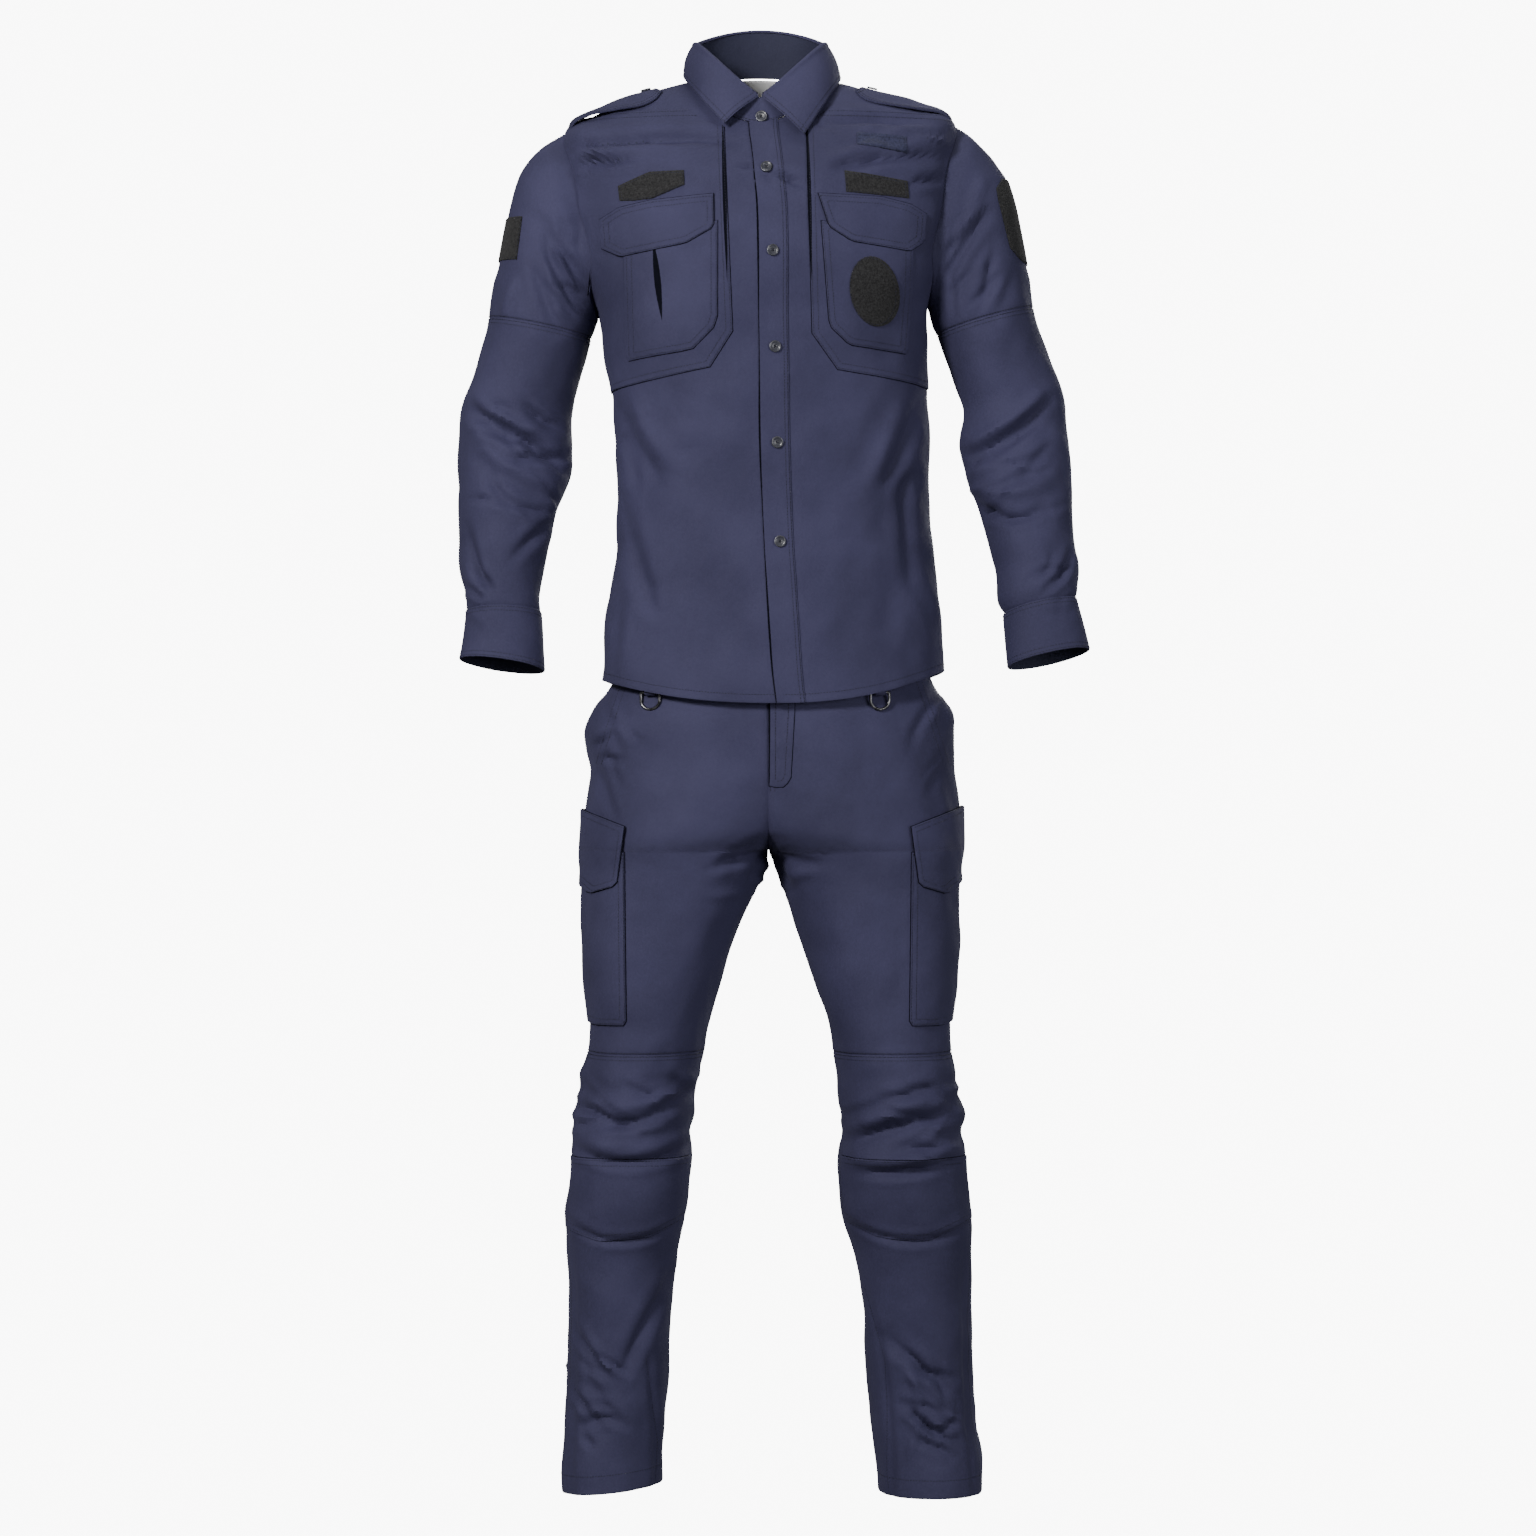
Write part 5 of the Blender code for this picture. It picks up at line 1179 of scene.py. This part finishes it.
for side, outline, behind in ((RIGHT, PLAIN, 26), (LEFT, SHIELD, 40)):
    count = upper[side].points.shape[1]
    outer = upper[side].part(rows=slice(3, -3), columns=slice(count // 5, -count // 5))
    sewn_on(f"arm_patch_{SIDES[side]}", f"loop_arm_{SIDES[side]}", outer, outline, behind=behind,
            on=f"arm_upper_{SIDES[side]}", **tape)


# Shoulder straps
# An epaulette is a double strap 50 mm wide, sewn in at the sleeve head and buttoned near the
# collar. It bows up off the shoulder between the two.
EPAULETTE = Table(
    "row rise front back",
    [
        [14.12, 0.6, 80, 100], [14.4, 4.5, 77, 100], [14.9, 6.5, 71, 99], [15.5, 4.5, 65, 99],
        [16.1, 2.4, 61, 100], [16.7, 1.2, 62, 101], [17.05, 1.0, 68, 98],
    ],
)
straps = {}
for side, name in SIDES.items():
    places = np.concatenate([np.linspace(0, 5.4, 26), [5.6, 5.75, 5.9, 6.0]])
    cut = EPAULETTE.at(places)
    across = spread(50, 4)[None]
    angles = side * (cut["front"][:, None] * (1 - across) + cut["back"][:, None] * across)
    plain, height = body_sheet(cut["row"], angles)
    strap = plain.moved(height + cut["rise"][:, None] * (1.2 if side == RIGHT else 0.6))
    straps[side] = thickened(f"strap_{name}", strap.surface(), 0, CLOTH, navy)
    worn(f"epaulette_{name}", straps[side])
    top = strap.moved(np.full_like(height, CLOTH))
    sewn_edges("shirt", top, first_column=[1.6, 6.5], last_column=[1.6, 6.5], last_row=[1.6, 6.5])


# Buttons
# Four-hole buttons of dark plastic with a thin metal rim: 12.4 mm at the collar and down the
# placket, and 11.2 mm on the straps and at the back of the cuffs.
button_face = speckled(
    "button plastic", 700, 3, (0.014, 0.015, 0.022), (0.034, 0.036, 0.048), (0.30, 0.15),
    Coat_Weight=0.25, Coat_Roughness=0.2,
)
button_rim = speckled(
    "button rim metal", 1600, 3, (0.045, 0.047, 0.055), (0.12, 0.122, 0.135), (0.34, 0.16), Metallic=1.0
)


def active(*objects):
    """Leaves only these objects selected, the last one active."""
    bpy.ops.object.select_all(action="DESELECT")
    for thing in objects:
        thing.select_set(True)
    bpy.context.view_layer.objects.active = objects[-1]


bpy.ops.object.select_all(action="DESELECT")
bpy.ops.mesh.primitive_cylinder_add(vertices=36, radius=1, depth=0.38, location=(0, 0, 0.19))
model = bpy.context.object
bpy.ops.object.mode_set(mode="EDIT")
mesh = bmesh.from_edit_mesh(model.data)
for face in mesh.faces:
    face.select_set(face.normal.z > 0.9)
bmesh.update_edit_mesh(model.data)
for width, rise in ((0.13, 0.02), (0.15, -0.05), (0.12, -0.09)):
    bpy.ops.mesh.inset(thickness=width)
    bpy.ops.transform.translate(value=(0, 0, rise))
bpy.ops.object.mode_set(mode="OBJECT")
holes = []
for turn in (45, 135, 225, 315):
    spot = (0.2 * math.cos(math.radians(turn)), 0.2 * math.sin(math.radians(turn)), 0.2)
    bpy.ops.object.select_all(action="DESELECT")
    bpy.ops.mesh.primitive_cylinder_add(vertices=14, radius=0.1, depth=1.0, location=spot)
    holes.append(bpy.context.object)
active(*holes)
bpy.ops.object.join()
holes = bpy.context.object
bored = model.modifiers.new("holes", "BOOLEAN")
bored.object = holes
active(model)
bpy.ops.object.modifier_apply(modifier="holes")
bpy.data.objects.remove(holes, do_unlink=True)
softened = model.modifiers.new("rim", "BEVEL")
softened.width, softened.segments, softened.limit_method = 0.045, 2, "ANGLE"
bpy.ops.object.modifier_apply(modifier="rim")
bpy.ops.object.shade_smooth_by_angle(angle=math.radians(40))
bpy.ops.object.transform_apply(location=True, rotation=False, scale=False)
model.data.materials.append(button_face)
model.data.materials.append(button_rim)
for polygon in model.data.polygons:
    away = math.hypot(*polygon.center[:2])
    polygon.material_index = int(away > 0.84 and polygon.center.z > 0.2)


trees = {}


def meets(piece, start, way):
    """Where a ray first meets a piece, and the way out of it there, in metres."""
    if piece.name not in trees:
        mesh = piece.data
        corners, polygons = [v.co for v in mesh.vertices], [p.vertices for p in mesh.polygons]
        trees[piece.name] = BVHTree.FromPolygons(corners, polygons)
    return trees[piece.name].ray_cast(Vector(start), Vector(way))[:2]


def button(node, point, normal, radius):
    """A copy of the button on a point, with its thread across the holes."""
    made = model.copy()
    made.data = model.data.copy()
    made.name = node + "_turned"
    bpy.context.scene.collection.objects.link(made)
    seat = point + normal * (SEAM * MM)
    place = normal.to_track_quat("Z", "Y").to_matrix().to_4x4()
    scale = radius * MM
    for vert in made.data.vertices:
        vert.co = seat + place @ (vert.co * scale)
    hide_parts(node)
    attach(made, "garment")
    floor = seat + normal * 0.26 * scale
    for turns in ((45, 225), (135, 315)):
        ways = [Vector((math.cos(math.radians(t)), math.sin(math.radians(t)), 0)) for t in turns]
        ends = [(floor + place @ way * 0.22 * scale) * 1000 for way in ways]
        stitched("shirt", np.array([list(end) for end in ends]), np.array([list(normal)] * 2))


for node, carrier in [("button_collar", stand)] + [(f"button_{i}", placket) for i in range(1, 6)]:
    low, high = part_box(node)
    point, normal = meets(carrier, ((low.x + high.x) / 2, -1, (low.z + high.z) / 2), (0, 1, 0))
    button(node, point, normal, 6.2)
for side, name in SIDES.items():
    low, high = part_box(f"epaulette_button_{name}")
    point, normal = meets(straps[side], ((low.x + high.x) / 2, (low.y + high.y) / 2, 0.3), (0, 0, -1))
    button(f"epaulette_button_{name}", point, normal, 5.6)
    low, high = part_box(f"cuff_button_{name}")
    band = cuffs[side]
    spot = np.array([(low.x + high.x) / 2, (low.y + high.y) / 2, (low.z + high.z) / 2]) * 1000
    nearest = np.linalg.norm(band.points - spot, axis=-1).argmin()
    point, normal = (Vector(part.reshape(-1, 3)[nearest]) for part in (band.points, band.normals))
    button(f"cuff_button_{name}", point * MM, normal, 5.6)
bpy.data.objects.remove(model, do_unlink=True)


# Legs of the trousers
# Each leg has a thigh front and a shin front that meet in a seam above the knee, and one long
# back. The cloth breaks over the knees and falls nearly straight to a hem stitched 20 mm up.
HIP_CENTRE = 0.5
TROUSERS = Table(
    "z outer_right inner_right outer_left inner_left front back open lift",
    [
        [-561, 159, 0, 161, 0, -102, 104, 1, 0], [-601, 165, 0, 168, 0, -103, 111, 1, 0],
        [-643, 173, 0, 182, 0, -105, 114, 1, 0], [-671, 192, 0, 202, 0, -108, 119, 0.99, 0],
        [-693, 202, 0, 205.5, 0, -111, 129, 0.96, 0], [-715, 199, 0, 207, 0, -113, 136, 0.9, 0],
        [-737, 194, 0, 206.5, 0, -114, 140, 0.8, 0], [-759, 195.5, 0, 207.5, 0, -114, 140, 0.66, 0],
        [-781, 199, 0, 209, 0, -113, 138, 0.48, 0], [-803, 200.7, 0, 210, 0, -112, 133, 0.26, 0],
        [-825, 201.5, 0.6, 210.5, 0.6, -110, 127, 0, 0], [-847, 201, 4.5, 208.5, 9, -108, 121, 0, 0],
        [-891, 198, 23.6, 205.5, 24.8, -105, 110, 0, 0], [-935, 198.5, 42.3, 204.5, 40.2, -102, 99, 0, 0],
        [-979, 196, 55.5, 200, 54.5, -99, 90, 0, 0], [-1023, 196, 67.6, 200.5, 67.7, -97, 82, 0, 0],
        [-1045, 198.5, 72, 201.9, 71, -97, 78, 0, 0], [-1067, 206.2, 75.3, 207.4, 74.3, -97, 74, 0, 0],
        [-1089, 206.2, 80.8, 207.4, 76.5, -97, 71, 0, 0], [-1111, 213.9, 81.9, 216.2, 79.8, -96, 68, 0, 0],
        [-1133, 215, 86.3, 212.9, 82, -95, 67, 0, 0], [-1155, 218.3, 85.2, 217.3, 78.7, -93, 67, 0, 0],
        [-1177, 219.4, 85.2, 218.4, 78.7, -90, 68, 0, 0], [-1199, 221.6, 86.3, 220.6, 79.8, -86, 70, 0, 0],
        [-1221, 223.8, 88.5, 221.7, 82, -81, 73, 0, 0], [-1243, 222.7, 92.9, 222.8, 86.4, -76, 76, 0, 0],
        [-1276, 222.7, 100, 223.9, 96, -69, 80, 0, 0], [-1320, 222, 105.5, 223.9, 103, -64, 85, 0, 0],
        [-1364, 222.7, 107.5, 225, 105.5, -61, 86, 0, 0], [-1408, 223, 110.5, 226.8, 109, -60, 85, 0, 0],
        [-1452, 225, 115.5, 230.2, 113, -59, 83, 0, 0], [-1492, 227.1, 117.5, 236, 118, -59, 81, 0, 4],
        [-1530, 226, 116, 236, 121.6, -60, 78, 0, 12],
    ],
)
WAIST_ROW, YOKE_ROW, CROTCH_ROW, KNEE_SEAM_ROW, HEM_ROW = 0, 1, 10, 16, 32
LEG_FULLNESS = 2.15
LEG_FRONT = -0.5


def trouser_half(side, row, turn):
    """A point of one half of the trousers: turn runs from -1 at the front inner edge, over 0 at
    the side seam, to 1 at the back inner edge."""
    cut = TROUSERS.at(row)
    outer, inner = cut["outer_" + SIDES[side]], cut["inner_" + SIDES[side]]
    above = np.asarray(row) < CROTCH_ROW
    inner = np.where(above, -outer * np.clip(cut["open"], 0, 1), np.maximum(inner, 0.4))
    middle, half = (outer + inner) / 2, (outer - inner) / 2
    angle = np.arccos(-np.clip(middle / half, 0, 1) ** (LEG_FULLNESS / 2)) * turn
    wide = power(np.cos(angle), LEG_FULLNESS)
    depth = (cut["back"] - cut["front"]) / 2 * power(np.sin(angle), LEG_FULLNESS)
    x = np.maximum(middle + half * wide, 0)
    lift = cut["lift"] * (1 - wide) / 2 * (side == RIGHT)
    y = (cut["back"] + cut["front"]) / 2 + depth
    return np.stack([HIP_CENTRE + side * x, y, cut["z"] + lift], axis=-1)


def leg_sheet(side, rows, turns):
    """A sheet of one half of the trousers, with its relief."""

    def place(row, turn):
        return trouser_half(side, np.clip(row, 0, HEM_ROW), np.clip(turn, -1, 1))

    rows, turns = rows[:, None], turns[None]
    points = place(rows, turns)
    cut = TROUSERS.at(rows)
    outer, inner = cut["outer_" + SIDES[side]], cut["inner_" + SIDES[side]]
    middle_y = (cut["front"] + cut["back"]) / 2
    above = outer * 0.35 * (1 - cut["open"])
    middle_x = HIP_CENTRE + side * np.where(rows < CROTCH_ROW, above, (inner + outer) / 2)

    def outward(p):
        return np.stack([p[..., 0] - middle_x, p[..., 1] - middle_y, np.zeros_like(p[..., 0])], -1)

    normals = normals_of(place, rows, turns, outward, turn_step=0.01)
    at_seam = np.exp(-(((points[..., 0] - HIP_CENTRE) / 9) ** 2)) * (rows <= CROTCH_ROW)
    normals[..., 0] *= 1 - at_seam
    return Sheet(points, unit(normals)).moved(relief(points, middle_y))


def leg_rows(side, start, end, step=GRID):
    """Rows of one half of the trousers, spaced along the front of the leg."""
    return paced(lambda row, turn: trouser_half(side, row, turn), LEG_FRONT, end, step, start)


leg, shin_front, leg_pieces = {}, {}, {}
for side, name in SIDES.items():
    thigh_rows = leg_rows(side, YOKE_ROW, KNEE_SEAM_ROW)
    shin_rows = leg_rows(side, KNEE_SEAM_ROW, HEM_ROW)
    turns = spread(205, GRID)
    thigh, shin = leg_sheet(side, thigh_rows, turns - 1), leg_sheet(side, shin_rows, turns - 1)
    behind = leg_sheet(side, np.append(thigh_rows, shin_rows[1:]), turns)
    leg[side], shin_front[side] = thigh.joined(leg_sheet(side, thigh_rows, turns)), shin
    for node, label, sheet, seams in (
        ("trouser_thigh", "thigh", thigh, [*ENDS, "last_row"]),
        ("trouser_shin", "shin", shin, [*ENDS, "first_row"]),
        ("trouser_back", "leg_back", behind, ENDS),
    ):
        sheet = sheet.ditched(seams, 0.8).trimmed(MEET, seams)
        piece = thickened(f"{label}_{name}", sheet.surface(), -CLOTH, 0, navy)
        worn(f"{node}_{name}", piece)
        leg_pieces[label, side] = piece
    sewn_edges("trousers", thigh, last_row=[1.8], last_column=[1.8])
    sewn_edges("trousers", shin, first_row=[1.8, 6.0], last_column=[1.8], last_row=[20.0])
    sewn_edges("trousers", behind, first_column=[1.8, 6.5], last_row=[20.0])
    stitched("trousers", *shin.edge_line("last_column", 27))
sewn_edges("trousers", leg[LEFT].part(rows=slice(0, 45)), first_column=[2.2, 7.0])


def stitched_on(piece, line):
    """Stitches along a line seen from the front, on the trouser piece behind it."""
    xs, zs = np.array(line, float).T
    found = []
    for z in np.arange(max(zs), min(zs), -3.0):
        x = np.interp(-z, -zs, xs) if zs[0] > zs[-1] else np.interp(z, zs, xs)
        point, normal = meets(piece, (x * MM, -1, z * MM), (0, 1, 0))
        if point:
            found.append([*(point * 1000), *normal])
    found = np.array(found)
    stitched("trousers", found[:, :3], found[:, 3:])


INSEAMS = {
    RIGHT: [(-133, -1377), (-126.5, -1431), (-121, -1472), (-124, -1526), (-124, -1600)],
    LEFT: [(106, -1304), (127.5, -1380), (130, -1431), (130, -1505), (133, -1532), (134, -1600)],
}
for side, line in INSEAMS.items():
    stitched_on(leg_pieces["shin", side], line)


# Waistband and fly
# The waistband is a double band 40 mm deep under the shirt. The fly's facing is stitched to the
# left front along a J.
rows = leg_rows(LEFT, WAIST_ROW, YOKE_ROW, 5)
turns = 2 * spread(370, 6) - 1
half = {side: leg_sheet(side, rows, turns) for side in SIDES}
ring = half[LEFT].joined(half[RIGHT].part(columns=slice(None, None, -1)))
waistband = thickened("waist", ring.trimmed(MEET, ["last_row"]).surface(), -2.6, 0, navy)
worn("waistband", waistband)
FLY = [(1.5, -604), (1.5, -754), (9, -755.5), (16.5, -755), (21, -751), (24.5, -745), (28.5, -675),
       (29, -604)]
fly_ground = leg[LEFT].part(rows=slice(0, 48), columns=slice(0, 14))
fly_slit = slit("fly_slit", fly_ground, (1.2, -606), (1.6, -753), 2.0, SEAM + LAYER)
sewn_on("fly", "fly_facing", fly_ground, FLY, on="thigh_left", garment="trousers", insets=(6.5,),
        with_pieces=[fly_slit])
MOUTHS = {RIGHT: ((-189, -733), (-160, -640)), LEFT: ((199, -733), (168, -640))}
for side, ((x0, z0), (x1, z1)) in MOUTHS.items():
    for inset in (0, 6.5):
        stitched_on(leg_pieces["thigh", side], [(x0 - side * inset, z0), (x1 - side * inset, z1)])


# Cargo pockets and knee patches
# A bellows pocket with a shaped flap wraps each side seam at the thigh. A shaped patch with
# rounded lower corners doubles the cloth over each knee.
CARGO = [(155, -826), (153, -1008), (156, -1013), (185, -1014), (192, -1013), (240, -1001), (240, -826)]
CARGO_FLAP = [(153, -799), (161, -858), (166, -863), (188, -870), (194, -869), (240, -836), (240, -766)]
KNEE = {
    RIGHT: [(-240, -1158), (-70, -1158), (-80, -1221), (-86, -1226), (-130, -1243.5), (-145, -1245),
            (-176, -1248), (-186, -1247.5), (-218, -1238), (-240, -1228)],
    LEFT: [(240, -1158), (70, -1158), (75, -1222), (80, -1227), (118, -1243), (130, -1245), (160, -1248),
           (174, -1247), (222, -1228), (240, -1220)],
}
CARGO_TOP, KNEE_FOOT = -735, -1300
bold = {"garment": "trousers", "insets": (1.8, 7.0)}
for side, name in SIDES.items():
    columns = slice(6, leg[side].points.shape[1] * 5 // 6)
    ground = leg[side].part(leg[side].points[:, 0, 2] < CARGO_TOP, columns)
    pocket, cover = ([(side * x, z) for x, z in outline] for outline in (CARGO, CARGO_FLAP))
    sewn_on(f"cargo_pocket_{name}", f"bellows_{name}", ground, pocket, 0, 2.4, behind=58,
            on=f"thigh_{name}", **bold)
    sewn_on(f"cargo_flap_{name}", f"cargo_cover_{name}", ground, cover, 2, 1.8, behind=62,
            on=f"bellows_{name}", **bold)
    ground = shin_front[side].part(shin_front[side].points[:, 0, 2] > KNEE_FOOT, slice(6, -5))
    sewn_on(f"knee_patch_{name}", f"knee_{name}", ground, KNEE[side], on=f"shin_{name}", **bold)


# D-rings and their tabs
# A steel D-ring hangs at each hip from a folded tab of the cloth that is sewn to the trousers.
# It swings out on its straight bar, which turns in the tab's fold.
WIRE, BAR_Z, RING_HALF, RING_DROP, RING_SLANT, BOW = 1.6, -653.0, 11.4, 20.0, 27.0, 10
TAB_HALF, TAB_RISE, TAB_CLOTH = 6.0, 34.0, 1.3
gunmetal = speckled(
    "gunmetal", 260, 4, (0.070, 0.070, 0.074), (0.17, 0.17, 0.176), (0.20, 0.2), (0.35, 0.7), Metallic=1.0
)
for side, name in SIDES.items():
    low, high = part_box(f"d_ring_{name}")
    bar = Vector(((low.x + high.x) * 500, (low.y + high.y) * 500, BAR_Z))
    slant = math.radians(RING_SLANT) * side
    along = Vector((math.cos(slant), math.sin(slant), 0))
    out = Vector((math.sin(slant), -math.cos(slant), 0))
    straight = RING_DROP - WIRE - BOW
    turns = np.linspace(math.pi / 2, 0, 5)
    corner = [(RING_HALF - WIRE + WIRE * math.cos(a), WIRE * math.sin(a) - WIRE) for a in turns]
    bow = [(RING_HALF * math.cos(a), -straight + BOW * math.sin(a)) for a in np.linspace(0, -math.pi, 33)]
    path = corner + bow + [(-x, z) for x, z in corner[::-1]]
    curve = bpy.data.curves.new(f"ring_{name}", "CURVE")
    curve.dimensions, curve.bevel_depth, curve.bevel_resolution = "3D", WIRE * MM, 5
    spline = curve.splines.new("POLY")
    spline.points.add(len(path) - 1)
    for spot, (run, drop) in zip(spline.points, path):
        spot.co = (*(bar + along * run + Vector((0, 0, drop))) * MM, 1)
    spline.use_cyclic_u = True
    active(linked(f"ring_{name}", curve))
    bpy.ops.object.convert(target="MESH")
    ring = bpy.context.object
    ring.data.materials.append(gunmetal)
    bpy.ops.object.shade_smooth()
    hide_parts(f"d_ring_{name}")
    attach(ring, f"ring_{name}")

    outer = WIRE + 2.0
    columns = []
    for run in np.linspace(-TAB_HALF, TAB_HALF, 9):
        end = bar + along * float(run)
        top, _ = meets(leg_pieces["thigh", side], (end.x * MM, -1, (bar.z + TAB_RISE) * MM), (0, 1, 0))
        sewn, back = top * 1000 - Vector((0, 1.0, 0)), end - out * outer
        column = [sewn + (back - sewn) * t for t in np.linspace(0, 0.95, 8)]
        for a in np.linspace(0, math.pi, 15):
            column.append(end - out * outer * math.cos(a) - Vector((0, 0, outer * math.sin(a))))
        columns.append(column + [end + out * outer + Vector((0, 0, rise)) for rise in (2, 4, 5, 6)])
    points = np.array([[list(p) for p in column] for column in columns]).transpose(1, 0, 2)
    normals = grid_normals(points)
    tab = Sheet(points, np.zeros_like(points))
    tab.normals = normals * np.sign(normals[-1, 4] @ np.array(out))
    tab = thickened(f"tab_{name}", tab.surface(), -TAB_CLOTH, 0, navy)
    worn(f"ring_tab_{name}", tab)


# The stitches themselves
# Each stitch is a short bead of thread that dips into the cloth at both ends.
# The thread is navy and made darker than the cloth: partly its own colour, and partly painted shade for the
# needle holes and the dips of the stitches.
sewing = speckled(
    "sewing thread, navy and painted shade", 2600, 2, (0.0085, 0.0090, 0.0190), (0.0150, 0.0158, 0.0330),
    Specular_IOR_Level=0.3, Roughness=0.7,
)
SQUARE = np.array([[-1, -1], [1, -1], [1, 1], [-1, 1]])
CORNERS = np.concatenate([np.insert(SQUARE, 2, 0, axis=1), np.insert(SQUARE * 0.6, 2, 1, axis=1)])
BEAD_HEIGHT, BEAD_DEPTH = 0.34, 0.06
SHELL = np.array([[3, 2, 1, 0], [4, 5, 6, 7], [0, 1, 5, 4], [1, 2, 6, 5], [2, 3, 7, 6], [3, 0, 4, 7]])
for garment, lines in runs.items():
    verts, faces, count = [], [], 0
    for points, normals in lines:
        run = run_along(points)
        if run[-1] < 2:
            continue
        middles = np.arange(PITCH / 2, run[-1], PITCH) if run[-1] > PITCH else np.array([run[-1] / 2])

        def at(places, values):
            return np.stack([np.interp(places, run, values[:, i]) for i in range(3)], 1)

        up = unit(at(middles, normals))
        ahead = at(middles + 0.5, points) - at(middles - 0.5, points)
        ahead = unit(ahead - up * (ahead * up).sum(1, keepdims=True))
        shape = CORNERS[None] * [STITCH / 2, THREAD, BEAD_HEIGHT] - [0, 0, BEAD_DEPTH]
        block = at(middles, points)[:, None]
        for i, way in enumerate((ahead, np.cross(up, ahead), up)):
            block = block + shape[..., i : i + 1] * way[:, None]
        verts.append(block.reshape(-1, 3) * MM)
        starts = count + np.arange(len(middles)) * len(CORNERS)
        faces.append((SHELL[None] + starts[:, None, None]).reshape(-1, 4))
        count += len(middles) * len(CORNERS)
    mesh = bpy.data.meshes.new(f"thread_{garment}")
    mesh.from_pydata(np.concatenate(verts).tolist(), [], np.concatenate(faces).tolist())
    mesh.materials.append(sewing)
    mesh.shade_smooth()
    thread = linked(f"thread_{garment}", mesh)
    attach(thread, "garment")


# Studio
# A round sweep of pale paper about and under the uniform, which hangs as it would on a wearer,
# with soft lights in front, above and behind, and a long lens half way up.
paper = speckled(
    "lit white paper", 3, 2, (0.80, 0.80, 0.80), (0.83, 0.83, 0.83),
    Roughness=0.9, Emission_Strength=9.0, Emission_Color=(1, 1, 1, 1),
)
FLOOR, RADIUS, SWEEP, AROUND, TOP = -3.4, 8.0, 1.5, 64, 9.0
profile = [(0.01, FLOOR), (RADIUS - SWEEP, FLOOR)]
for turn in np.linspace(0.1, math.pi / 2, 14):
    profile.append((RADIUS - SWEEP + SWEEP * math.sin(turn), FLOOR + SWEEP - SWEEP * math.cos(turn)))
profile.append((RADIUS, TOP))
count = len(profile)
verts = [
    (reach * math.sin(turn), reach * math.cos(turn), z)
    for turn in np.arange(AROUND) * math.tau / AROUND
    for reach, z in profile
]
faces = []
for i in range(AROUND):
    here, there = i * count, (i + 1) % AROUND * count
    faces += [(here + k, here + k + 1, there + k + 1, there + k) for k in range(count - 1)]
mesh = bpy.data.meshes.new("backdrop")
mesh.from_pydata(verts, [], faces)
mesh.materials.append(paper)
mesh.shade_smooth()
backdrop = linked("backdrop", mesh)
# the paper is bright to the camera, and only the lamps and the sky light the cloth
backdrop.visible_diffuse = backdrop.visible_glossy = backdrop.visible_shadow = False

LIGHTS = [
    # name, place, size, power, colour
    ("key", (-1.8, -2.8, 0.9), 0.7, 152, (1.0, 0.985, 0.97)),
    ("fill", (2.5, -3.2, -0.3), 1.6, 76, (0.98, 0.98, 1.0)),
    ("top", (0.2, 0.1, 2.2), 1.2, 18, (1.0, 1.0, 1.0)),
    ("back", (1.0, 3.2, 0.6), 2.0, 70, (1.0, 1.0, 1.0)),
]
aim = Vector((0, 0, -0.75))
for name, place, size, strength, colour in LIGHTS:
    lamp = bpy.data.lights.new(name, "AREA")
    lamp.size, lamp.energy, lamp.color = size, strength, colour
    holder = linked(name, lamp)
    holder.location = place
    holder.rotation_euler = (aim - Vector(place)).to_track_quat("-Z", "Y").to_euler()
world = bpy.data.worlds.new("studio")
bpy.context.scene.world = world
world.use_nodes = True
sky = world.node_tree.nodes["Background"]
sky.inputs["Color"].default_value = (1, 1, 1, 1)
sky.inputs["Strength"].default_value = 0.20

lens = bpy.data.cameras.new("camera")
lens.lens, lens.sensor_width, lens.clip_end = 106.5, 36, 100
camera = linked("camera", lens)
camera.location = (0, -5.0, -0.7348)
camera.rotation_euler = (math.radians(90), 0, 0)
bpy.context.scene.camera = camera
